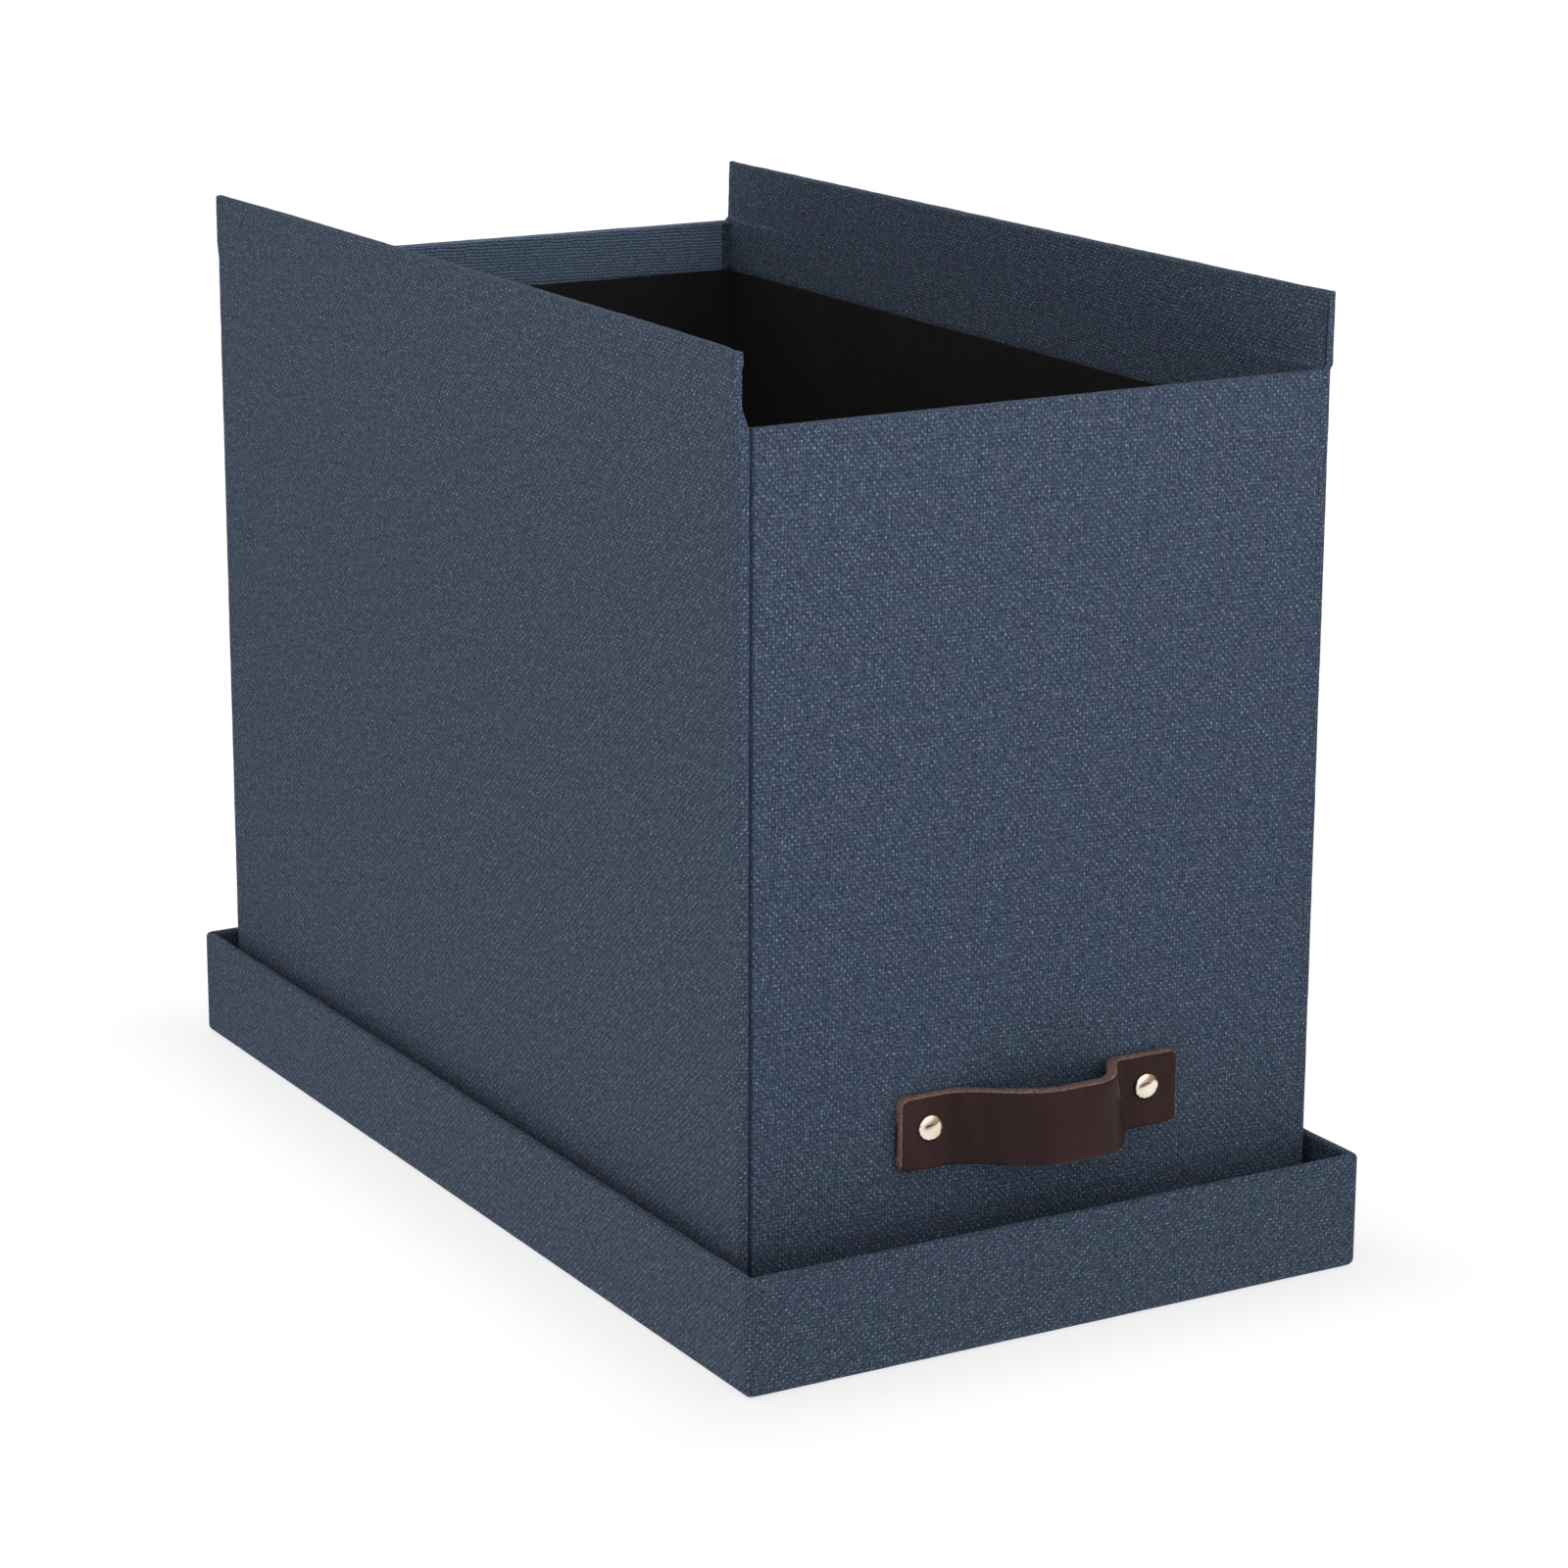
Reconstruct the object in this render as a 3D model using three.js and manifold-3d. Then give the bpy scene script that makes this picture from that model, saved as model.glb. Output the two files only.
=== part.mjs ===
// A cloth-covered desktop file box that stands in its own upturned lid.
//
// Both halves are built in the same way: five flat boards glued edge to edge, a cloth cover drawn
// over them and turned in at the top, card linings inside, and corner stays under the linings.
// The box's two long sides stand taller than its ends, so the hooks of hanging folders can rest
// on the ends. A leather pull strap is riveted low on the front end.
//
// Millimetres, +Z up. The front, with the strap, faces -Y and the width runs along X. The origin
// is the middle of the lid's underside, which is what the part stands on.

import * as THREE from 'three';
import { mergeVertices } from 'three/addons/utils/BufferGeometryUtils.js';
import Module from 'manifold-3d';

const wasm = await Module();
wasm.setup();

// ---------------------------------------------------------------------------
// Driving dimensions
// ---------------------------------------------------------------------------

// the box
const boxWidth = 185;           // over the side covers
const boxLength = 330;          // over the end covers
const boxSideHeight = 272;      // underside to the top of a long side
const hookNotchDepth = 20;      // how far the top of an end lies below the sides
const boxTurnInDepth = 16;      // cloth turned down inside, below the top of an end

// the lid that it stands in
const lidSideMargin = 7;        // from a side of the box to the lid's outer face
const lidEndMargin = 14.5;      // from an end of the box to the lid's outer face
const lidHeight = 33.5;
const lidTurnInDepth = 10;
const boxSetback = 3;           // how far back from the lid's middle the box stands
const standingGap = 0.1;        // under the box, which rests on the lid's lining

// sheet materials and how they meet
const boardThickness = 2;
const clothThickness = 0.45;
const liningThickness = 0.35;
const stayThickness = 0.2;
const stayLeg = 14;             // how far a corner stay reaches along each wall
const glueLine = 0.1;           // between two layers that are glued together
const seamGap = 0.2;            // between the edges of neighbouring sheets

// the pull strap
const strapWidth = 21;
const strapThickness = 3;
const strapHeight = 56;         // underside of the box to the strap's middle line
const strapTailLeft = 9.2;      // from a rivet to the end of the strap beyond it
const strapTailRight = 10.6;
const strapCornerRadius = 3;
const bowHeight = 14.2;         // how far the bow stands out from the riveted ends
const bowTop = 3;               // how far right of the middle it stands out furthest
const slopeFootGap = 0.2;       // between the left rivet's head and the foot of the bow
const shoulderFootGap = 1.7;    // the same at the right rivet
const slopeFullness = 2.5;      // how square the bow's long left slope is at its top
const slopeSoftness = 2.5;      // how gently that slope ends at its foot
const shoulderFullness = 5;     // the same two for the short shoulder on the right
const shoulderSoftness = 3;

// the rivets
const rivetSpacing = 70;
const rivetRise = 1.2;          // how far above the strap's middle line the rivets sit
const rivetHeadRadius = 3.8;
const rivetHeadHeight = 1.4;
const rivetRimHeight = 0.4;     // straight edge of the head under its dome
const rivetShankRadius = 1.5;
const rivetCapThickness = 1;
const rivetCapRadius = 3.8;
const rivetHoleClearance = 0.2; // between the shank and what it goes through
const rivetRecess = 0.3;        // how far the shank ends below the cap's face

// ---------------------------------------------------------------------------
// Layers of a covered wall, counted inwards from the outer face of its cover
// ---------------------------------------------------------------------------

const boardOuter = clothThickness + glueLine;
const boardInner = boardOuter + boardThickness;
const turnInOuter = boardInner + glueLine;
const turnInInner = turnInOuter + clothThickness;
const stayOuter = boardInner + glueLine;
const stayInner = stayOuter + stayThickness;
const liningOuter = stayInner + glueLine;
const liningInner = liningOuter + liningThickness;

// the bottom has no stays, so its lining lies straight on the board
const floorLiningUnder = boardInner + glueLine;
const floorTop = floorLiningUnder + liningThickness;

// What each half is made to. turnInFrom is the height at which the turned-in cloth ends.
const box = {
  width: boxWidth,
  length: boxLength,
  sideHeight: boxSideHeight,
  endHeight: boxSideHeight - hookNotchDepth,
  turnInFrom: boxSideHeight - hookNotchDepth - boxTurnInDepth,
};
const lid = {
  width: boxWidth + 2 * lidSideMargin,
  length: boxLength + 2 * lidEndMargin,
  sideHeight: lidHeight,
  endHeight: lidHeight,
  turnInFrom: lidHeight - lidTurnInDepth,
};

const LEFT = -1;
const RIGHT = 1;
const FRONT = -1;
const REAR = 1;
const SEGMENTS_ROUND = 32;
const DOME_STEPS = 8;
const STRAP_STEPS = 72;
const STRAP_CORNER_STEPS = 8;
const WELD_DISTANCE = 1e-4;

// ---------------------------------------------------------------------------
// Materials
// ---------------------------------------------------------------------------

const canvas = new THREE.MeshStandardMaterial({ color: 0x465061, roughness: 0.92, metalness: 0 });
const greyBoard = new THREE.MeshStandardMaterial({ color: 0x8c8578, roughness: 0.95, metalness: 0 });
const blackCard = new THREE.MeshStandardMaterial({ color: 0x1a1a1c, roughness: 0.8, metalness: 0 });
const stayTape = new THREE.MeshStandardMaterial({ color: 0xb7a583, roughness: 0.9, metalness: 0 });
const leather = new THREE.MeshStandardMaterial({ color: 0x35241f, roughness: 0.55, metalness: 0 });
const nickel = new THREE.MeshStandardMaterial({ color: 0xc9bfae, roughness: 0.25, metalness: 1 });

// ---------------------------------------------------------------------------
// Solids: joining and cutting closed geometries
// ---------------------------------------------------------------------------

// A three.js geometry as a solid that can be joined and cut.
function solid(geometry) {
  const bare = geometry.clone();
  bare.deleteAttribute('normal');
  bare.deleteAttribute('uv');
  const merged = mergeVertices(bare, WELD_DISTANCE);
  return new wasm.Manifold(new wasm.Mesh({
    numProp: 3,
    vertProperties: new Float32Array(merged.attributes.position.array),
    triVerts: new Uint32Array(merged.index.array),
  }));
}

// A solid back as a three.js geometry.
function geometryOf(body) {
  const mesh = body.getMesh();
  const geometry = new THREE.BufferGeometry();
  geometry.setAttribute('position', new THREE.BufferAttribute(new Float32Array(mesh.vertProperties), 3));
  geometry.setIndex(new THREE.BufferAttribute(new Uint32Array(mesh.triVerts), 1));
  geometry.computeVertexNormals();
  return geometry;
}

// A box between two limits on each axis, which may be given in either order.
function block(x, y, z) {
  const geometry = new THREE.BoxGeometry(
    Math.abs(x[1] - x[0]),
    Math.abs(y[1] - y[0]),
    Math.abs(z[1] - z[0]),
  );
  geometry.translate((x[0] + x[1]) / 2, (y[0] + y[1]) / 2, (z[0] + z[1]) / 2);
  return geometry;
}

// Several sheets joined into one cover.
function joined(sheets) {
  return sheets.map(solid).reduce((whole, sheet) => whole.add(sheet));
}

// Two distances from the middle, taken towards one side of it.
function on(side, from, to) {
  return [side * from, side * to];
}

// Limits that run equally far each way from the middle.
function across(half) {
  return [-half, half];
}

// ---------------------------------------------------------------------------
// Boards
// ---------------------------------------------------------------------------

// A long side's board runs the whole length and its edges close the corners.
function sideBoard(half, side) {
  return block(
    on(side, half.width / 2 - boardOuter, half.width / 2 - boardInner),
    across(half.length / 2 - boardOuter),
    [boardOuter, half.sideHeight - boardOuter],
  );
}

// An end's board stands between the two side boards.
function endBoard(half, end) {
  return block(
    across(half.width / 2 - boardInner - glueLine),
    on(end, half.length / 2 - boardOuter, half.length / 2 - boardInner),
    [boardOuter, half.endHeight - boardOuter],
  );
}

// The bottom's board lies between all four walls.
function floorBoard(half) {
  return block(
    across(half.width / 2 - boardInner - glueLine),
    across(half.length / 2 - boardInner - glueLine),
    [boardOuter, boardInner],
  );
}

// ---------------------------------------------------------------------------
// Cloth
// ---------------------------------------------------------------------------

// The cloth on a long side: up the outside, round both upright edges of the board, over the top
// and down the inside, where it stops short of the ends below the hook notch.
function sideCover(half, side) {
  const outerFace = half.width / 2;
  const endFace = half.length / 2;
  const full = [boardOuter, half.sideHeight];
  const outside = block(on(side, outerFace - clothThickness, outerFace), across(endFace), full);
  const overTop = block(
    on(side, outerFace - turnInInner, outerFace),
    across(endFace),
    [half.sideHeight - clothThickness, half.sideHeight],
  );
  const inside = block(
    on(side, outerFace - turnInInner, outerFace - turnInOuter),
    across(endFace - turnInInner - seamGap),
    [half.turnInFrom, half.sideHeight],
  );
  const insideFlap = block(
    on(side, outerFace - turnInInner, outerFace - turnInOuter),
    across(endFace),
    [half.endHeight + seamGap, half.sideHeight],
  );
  const edges = [FRONT, REAR].map((end) => block(
    on(side, outerFace - turnInInner, outerFace),
    on(end, endFace - clothThickness, endFace),
    full,
  ));
  return joined([outside, overTop, inside, insideFlap, ...edges]);
}

// The cloth on an end: up the outside, over the top and down the inside. It lies between the two
// strips of side cloth that wrap the corners, and its top is clear of the sides.
function endCover(half, end) {
  const endFace = half.length / 2;
  const span = across(half.width / 2 - turnInInner - seamGap);
  const outside = block(
    span,
    on(end, endFace - clothThickness, endFace),
    [boardOuter, half.endHeight],
  );
  const overTop = block(
    span,
    on(end, endFace - turnInInner, endFace),
    [half.endHeight - clothThickness, half.endHeight],
  );
  const inside = block(
    span,
    on(end, endFace - turnInInner, endFace - turnInOuter),
    [half.turnInFrom, half.endHeight],
  );
  return joined([outside, overTop, inside]);
}

// A closed band of cloth between two rectangles, given by how far in from the outer face each is.
function band(half, outer, inner, z) {
  const outline = (inset, limits) => solid(block(
    across(half.width / 2 - inset),
    across(half.length / 2 - inset),
    limits,
  ));
  const past = z[1] - z[0];
  return outline(outer, z).subtract(outline(inner, [z[0] - past, z[1] + past]));
}

// The lid's rim is covered by one piece that runs round all four walls, over their top edge and
// down the inside.
function rimCover(half) {
  const outside = band(half, 0, clothThickness, [boardOuter, half.sideHeight]);
  const overTop = band(half, 0, turnInInner, [half.sideHeight - clothThickness, half.sideHeight]);
  const inside = band(half, turnInOuter, turnInInner, [half.turnInFrom, half.sideHeight]);
  return outside.add(overTop).add(inside);
}

// The cloth on the underside.
function floorCover(half) {
  return block(across(half.width / 2), across(half.length / 2), [0, clothThickness]);
}

// ---------------------------------------------------------------------------
// Linings and corner stays
// ---------------------------------------------------------------------------

function sideLining(half, side) {
  return block(
    on(side, half.width / 2 - liningOuter, half.width / 2 - liningInner),
    across(half.length / 2 - liningInner - seamGap),
    [floorLiningUnder, half.turnInFrom - seamGap],
  );
}

function endLining(half, end) {
  return block(
    across(half.width / 2 - liningOuter),
    on(end, half.length / 2 - liningOuter, half.length / 2 - liningInner),
    [floorLiningUnder, half.turnInFrom - seamGap],
  );
}

function floorLining(half) {
  return block(
    across(half.width / 2 - liningInner - seamGap),
    across(half.length / 2 - liningInner - seamGap),
    [floorLiningUnder, floorTop],
  );
}

// A folded strip of tape that holds two boards together at an upright corner.
function cornerStay(half, side, end) {
  const x = half.width / 2;
  const y = half.length / 2;
  const upright = [floorLiningUnder, half.turnInFrom - seamGap];
  const alongSide = block(
    on(side, x - stayOuter, x - stayInner),
    on(end, y - stayOuter, y - stayOuter - stayLeg),
    upright,
  );
  const alongEnd = block(
    on(side, x - stayOuter, x - stayOuter - stayLeg),
    on(end, y - stayOuter, y - stayInner),
    upright,
  );
  return joined([alongSide, alongEnd]);
}

// ---------------------------------------------------------------------------
// Pull strap and rivets
// ---------------------------------------------------------------------------

const frontFace = -box.length / 2;
const strapBack = frontFace - glueLine;
const rivetPlaces = { left: LEFT * rivetSpacing / 2, right: RIGHT * rivetSpacing / 2 };
const rivetHeight = strapHeight + rivetRise;
const strapEnds = [rivetPlaces.left - strapTailLeft, rivetPlaces.right + strapTailRight];
const slopeFoot = rivetPlaces.left + rivetHeadRadius + slopeFootGap;
const shoulderFoot = rivetPlaces.right - rivetHeadRadius - shoulderFootGap;

// How far the strap's middle line stands out from its riveted ends at a place across the front:
// a long soft slope on the left, and a full shoulder with a tight bend at its foot on the right.
function bow(x) {
  const onSlope = x < bowTop;
  const reach = onSlope ? bowTop - slopeFoot : shoulderFoot - bowTop;
  const fullness = onSlope ? slopeFullness : shoulderFullness;
  const softness = onSlope ? slopeSoftness : shoulderSoftness;
  const share = Math.min(Math.abs(x - bowTop) / reach, 1);
  return bowHeight * (1 - share ** fullness) ** softness;
}

// The strap as it lies from end to end: the outline of its bowed middle line, thickened to both
// sides and drawn up to the strap's width.
function strapStrip() {
  const middle = strapBack - strapThickness / 2;
  const step = (strapEnds[1] - strapEnds[0]) / STRAP_STEPS;
  const front = [];
  const back = [];
  for (let i = 0; i <= STRAP_STEPS; i += 1) {
    const x = strapEnds[0] + i * step;
    const slope = (bow(x + step / 2) - bow(x - step / 2)) / step;
    const outward = new THREE.Vector2(-slope, -1).setLength(strapThickness / 2);
    const place = new THREE.Vector2(x, middle - bow(x));
    front.push(place.clone().add(outward));
    back.push(place.clone().sub(outward));
  }
  const outline = new THREE.Shape([...front, ...back.reverse()]);
  const strip = new THREE.ExtrudeGeometry(outline, { depth: strapWidth, bevelEnabled: false });
  strip.translate(0, 0, strapHeight - strapWidth / 2);
  return strip;
}

// The strap as seen from the front: a rectangle with rounded corners, deeper than the bow.
function strapFace() {
  const r = strapCornerRadius;
  const left = strapEnds[0] + r;
  const right = strapEnds[1] - r;
  const low = -strapWidth / 2 + r;
  const high = strapWidth / 2 - r;
  const face = new THREE.Shape();
  face.absarc(right, low, r, -Math.PI / 2, 0, false);
  face.absarc(right, high, r, 0, Math.PI / 2, false);
  face.absarc(left, high, r, Math.PI / 2, Math.PI, false);
  face.absarc(left, low, r, Math.PI, 3 * Math.PI / 2, false);
  const prism = new THREE.ExtrudeGeometry(face, {
    depth: 2 * (bowHeight + strapThickness),
    bevelEnabled: false,
    curveSegments: STRAP_CORNER_STEPS,
  });
  prism.rotateX(Math.PI / 2);
  prism.translate(0, strapBack + strapThickness, strapHeight);
  return prism;
}

// A solid with the holes for both rivets cut through it. They are long enough for strap and wall.
function pierced(body) {
  const radius = rivetShankRadius + rivetHoleClearance;
  const length = 2 * (bowHeight + strapThickness + liningInner);
  const holes = Object.values(rivetPlaces).map((x) => {
    const hole = new THREE.CylinderGeometry(radius, radius, length, SEGMENTS_ROUND);
    hole.translate(x, frontFace, rivetHeight);
    return solid(hole);
  });
  return holes.reduce((rest, hole) => rest.subtract(hole), body);
}

// A round solid about the line through a rivet. The profile gives each point's radius and its
// distance out from the front, from the inside of the box outwards.
function turned(profile, x) {
  const points = profile.map(([radius, out]) => new THREE.Vector2(radius, out));
  const geometry = new THREE.LatheGeometry(points, SEGMENTS_ROUND);
  geometry.rotateZ(Math.PI);
  geometry.translate(x, frontFace, rivetHeight);
  return geometry;
}

const headUnder = glueLine + strapThickness + glueLine;
const capFace = -liningInner - glueLine;

// A domed head on the strap, and a shank through strap and wall that ends inside its cap.
function rivet(x) {
  const shankEnd = capFace - rivetCapThickness + rivetRecess;
  const dome = rivetHeadHeight - rivetRimHeight;
  const profile = [
    [0, shankEnd],
    [rivetShankRadius, shankEnd],
    [rivetShankRadius, headUnder],
    [rivetHeadRadius, headUnder],
  ];
  for (let i = 0; i <= DOME_STEPS; i += 1) {
    const angle = Math.PI / 2 * i / DOME_STEPS;
    const radius = i === DOME_STEPS ? 0 : rivetHeadRadius * Math.cos(angle);
    profile.push([radius, headUnder + rivetRimHeight + dome * Math.sin(angle)]);
  }
  return turned(profile, x);
}

// The ring on the inside of the front that the shank is spread into.
function rivetCap(x) {
  const bore = rivetShankRadius + rivetHoleClearance;
  const rim = capFace - rivetCapThickness / 2;
  const profile = [
    [bore, capFace - rivetCapThickness],
    [(bore + rivetCapRadius) / 2, capFace - rivetCapThickness],
    [rivetCapRadius, rim],
    [rivetCapRadius, capFace],
    [bore, capFace],
    [bore, capFace - rivetCapThickness],
  ];
  return turned(profile, x);
}

// ---------------------------------------------------------------------------
// Assembly
// ---------------------------------------------------------------------------

const sides = { left: LEFT, right: RIGHT };
const ends = { front: FRONT, rear: REAR };

// A named sub-part from a geometry or from a solid.
function part(name, shape, material) {
  const geometry = shape.isBufferGeometry ? shape : geometryOf(shape);
  const mesh = new THREE.Mesh(geometry, material);
  mesh.name = name;
  return mesh;
}

// The pieces that both halves have: boards, linings, corner stays and the cloth underneath.
// fit is applied to each piece of an end, so that the box's front can be pierced.
function carcass(half, prefix, panel, fit) {
  const group = new THREE.Group();
  group.add(part(`${prefix}_${panel}_board`, floorBoard(half), greyBoard));
  group.add(part(`${prefix}_${panel}_cover`, floorCover(half), canvas));
  group.add(part(`${prefix}_${panel}_lining`, floorLining(half), blackCard));
  for (const [name, side] of Object.entries(sides)) {
    group.add(part(`${prefix}_${name}_board`, sideBoard(half, side), greyBoard));
    group.add(part(`${prefix}_${name}_lining`, sideLining(half, side), blackCard));
  }
  for (const [name, end] of Object.entries(ends)) {
    group.add(part(`${prefix}_${name}_board`, fit(endBoard(half, end), end), greyBoard));
    group.add(part(`${prefix}_${name}_lining`, fit(endLining(half, end), end), blackCard));
    for (const [sideName, side] of Object.entries(sides)) {
      group.add(part(`${prefix}_${name}_${sideName}_stay`, cornerStay(half, side, end), stayTape));
    }
  }
  return group;
}

function buildLid() {
  const group = carcass(lid, 'lid', 'panel', (piece) => piece);
  group.add(part('lid_rim_cover', rimCover(lid), canvas));
  return group;
}

function buildBox() {
  const pierceFront = (piece, end) => (end === FRONT ? pierced(solid(piece)) : piece);
  const group = carcass(box, 'box', 'base', pierceFront);
  for (const [name, side] of Object.entries(sides)) {
    group.add(part(`box_${name}_cover`, sideCover(box, side), canvas));
  }
  group.add(part('box_front_cover', pierced(endCover(box, FRONT)), canvas));
  group.add(part('box_rear_cover', endCover(box, REAR), canvas));
  const strap = solid(strapStrip()).intersect(solid(strapFace()));
  group.add(part('handle_strap', pierced(strap), leather));
  for (const [name, x] of Object.entries(rivetPlaces)) {
    group.add(part(`${name}_rivet`, rivet(x), nickel));
    group.add(part(`${name}_rivet_cap`, rivetCap(x), nickel));
  }
  group.position.set(0, boxSetback, floorTop + standingGap);
  return group;
}

const model = new THREE.Group();
model.add(buildLid(), buildBox());

export default model;
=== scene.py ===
"""Looks of a cloth-covered desktop file box that stands in its own upturned lid.

Both halves are grey board covered in a slubby blue-grey canvas and lined with black card. The
box's long sides stand taller than its ends, so that hanging folders can hook on the ends. A thick
leather pull strap with raw edges is riveted low on the front. Everything is in metres, in the
frame of the CAD model: +Z up, the front faces -Y, and the origin is the middle of the lid's
underside.
"""

import logging
import math
from collections.abc import Callable, Sequence
from dataclasses import dataclass
from enum import Enum, IntEnum
from functools import cache
from itertools import product

import bpy
import numpy as np
from bpy.types import Camera, Light, Material, Mesh, Node, NodeOutputs, NodeSocket, NodeTree, Object
from mathutils import Matrix, Vector, noise

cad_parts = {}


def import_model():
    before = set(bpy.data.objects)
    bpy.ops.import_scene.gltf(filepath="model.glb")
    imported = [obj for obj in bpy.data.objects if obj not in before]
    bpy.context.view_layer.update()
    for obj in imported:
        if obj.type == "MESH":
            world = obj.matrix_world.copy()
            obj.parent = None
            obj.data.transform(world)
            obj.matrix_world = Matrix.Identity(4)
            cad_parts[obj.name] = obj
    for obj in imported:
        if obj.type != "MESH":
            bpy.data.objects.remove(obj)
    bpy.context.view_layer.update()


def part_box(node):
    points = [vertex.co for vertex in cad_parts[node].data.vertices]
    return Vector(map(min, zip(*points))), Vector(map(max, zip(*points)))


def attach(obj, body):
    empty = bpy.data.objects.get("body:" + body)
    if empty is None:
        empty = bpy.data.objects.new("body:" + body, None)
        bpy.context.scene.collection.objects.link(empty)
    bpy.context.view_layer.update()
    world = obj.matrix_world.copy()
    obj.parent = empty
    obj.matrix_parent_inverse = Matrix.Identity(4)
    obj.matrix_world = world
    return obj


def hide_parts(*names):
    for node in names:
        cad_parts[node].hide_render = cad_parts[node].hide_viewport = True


LOG = logging.getLogger("file_box")
MM = 0.001
WEAVE_MAP = "weave"  # the map that holds each point's place on the flat cloth, in metres
RAW_EDGE = "raw_edge"  # 1 where the leather is cut, 0 on its faces
PAINTED_SHADING = "tint"  # painted light and shade: above 0, how far the cloth is drawn smooth into ribs and painted lighter, and below 0, how much painted shade darkens it
VECTOR = "ShaderNodeVectorMath"
NOISE = "ShaderNodeTexNoise"  # its inputs: vector, w, scale, detail, roughness
MIX = "ShaderNodeMix"  # its inputs: 0 the share, 2 and 3 two numbers, 6 and 7 two colours
RAMP = "ShaderNodeValToRGB"
RANGE = "ShaderNodeMapRange"  # its inputs: value, from min, from max, to min, to max
COLOURS = {"data_type": "RGBA"}
EASED = {"interpolation_type": "SMOOTHSTEP"}
THREAD = 0.45 * MM  # thickness of the cloth
GLUE = 0.1 * MM
WALL = 3.1 * MM  # thickness of a covered board with its turned-in cloth
TURN_GAP = 0.2 * MM  # between turned-in cloth and the top of the lining
LEAST = 1e-9  # shorter than this, a length is none

Pair = tuple[float, float]
Flat = list[Pair]  # places on flat cloth, or points of a flat outline
Stops = tuple[tuple[float, str], ...]  # a colour ramp's places, from 0 to 1, and its colours
Edges = tuple[tuple[int, int], ...]  # sides of a box, as (axis, sign)
Modifier = tuple[str, dict[str, object]]  # its type and its settings


class Body(Enum):
    """The parts that move."""

    LID = "lid"
    BOX = "box"


class Slot(Enum):
    """The finishes that the CAD record names."""

    CANVAS = "blue_canvas"
    BOARD = "grey_board"
    CARD = "black_card"
    TAPE = "stay_tape"
    LEATHER = "brown_leather"
    NICKEL = "nickel"


class Axis(IntEnum):
    """The axis that a wall's thickness runs along."""

    X = 0
    Y = 1


class Wall(IntEnum):
    """A wall, as its sign on the axis across it."""

    @property
    def label(self) -> str:
        """The wall's name in the names of pieces."""
        return self.name.lower()


class Side(Wall):
    """A long side, as its sign on X."""

    LEFT = -1
    RIGHT = 1


class End(Wall):
    """An end, as its sign on Y."""

    FRONT = -1
    REAR = 1


# ---- Node trees ----


def linear(code: str) -> tuple[float, ...]:
    """Turns an sRGB hex colour, as "#rrggbb", into linear RGBA."""
    parts = [int(code[i : i + 2], 16) / 255 for i in (1, 3, 5)]
    return (*(c / 12.92 if c <= 0.04045 else ((c + 0.055) / 1.055) ** 2.4 for c in parts), 1.0)


def add(
    tree: NodeTree,
    kind: str,
    *values: object,
    named: dict[str | int, object] | None = None,
    stops: Stops = (),
    **settings: object,
) -> Node:
    """Adds one node to a tree, with its settings, values and links.

    Args:
        tree: The tree that gets the node.
        kind: Blender's name for the type of node, or in capitals what a Math node works out.
        values: What goes into the inputs in order. A node stands for its first output, and None
            leaves an input as it is.
        named: What goes into inputs by name or number.
        stops: A colour ramp's places, from 0 to 1, and sRGB hex colours.
        settings: The node's own settings.

    Returns:
        The new node.
    """
    if kind.isupper():
        kind, settings["operation"] = "ShaderNodeMath", kind
    node = tree.nodes.new(kind)
    for key, value in settings.items():
        setattr(node, key, value)
    for key, value in (*enumerate(values), *(named or {}).items()):
        source = value.outputs[0] if isinstance(value, Node) else value
        if isinstance(source, NodeSocket):
            tree.links.new(source, node.inputs[key])
        elif source is not None:
            node.inputs[key].default_value = source
    for i, (at, code) in enumerate(stops):
        stop = node.color_ramp.elements[i] if i < 2 else node.color_ramp.elements.new(at)
        stop.position, stop.color = at, linear(code)
    return node


def new_material(name: str) -> tuple[Material, NodeTree, NodeSocket]:
    """Starts a material.

    Args:
        name: The material's name.

    Returns:
        The material, its tree and the place on the object, in metres.
    """
    material = bpy.data.materials.new(name)
    material.use_nodes = True
    tree = material.node_tree
    tree.nodes.clear()
    return material, tree, add(tree, "ShaderNodeTexCoord").outputs["Object"]


def close(
    tree: NodeTree,
    colour: object,
    roughness: object,
    height: object,
    depth: float,
    named: dict[str, object],
) -> None:
    """Ends a material in a principled surface with a bump.

    Args:
        tree: The material's tree.
        colour: The base colour.
        roughness: The roughness.
        height: The bump's height, from 0 to 1.
        depth: How deep the bump is, in metres.
        named: The surface's other sockets and their values.
    """
    bump = add(tree, "ShaderNodeBump", named={"Height": height, "Distance": depth, "Strength": 1.0})
    sockets = {"Base Color": colour, "Roughness": roughness, "Normal": bump} | named
    add(tree, "ShaderNodeOutputMaterial", add(tree, "ShaderNodeBsdfPrincipled", named=sockets))


# ---- Finishes ----


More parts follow.
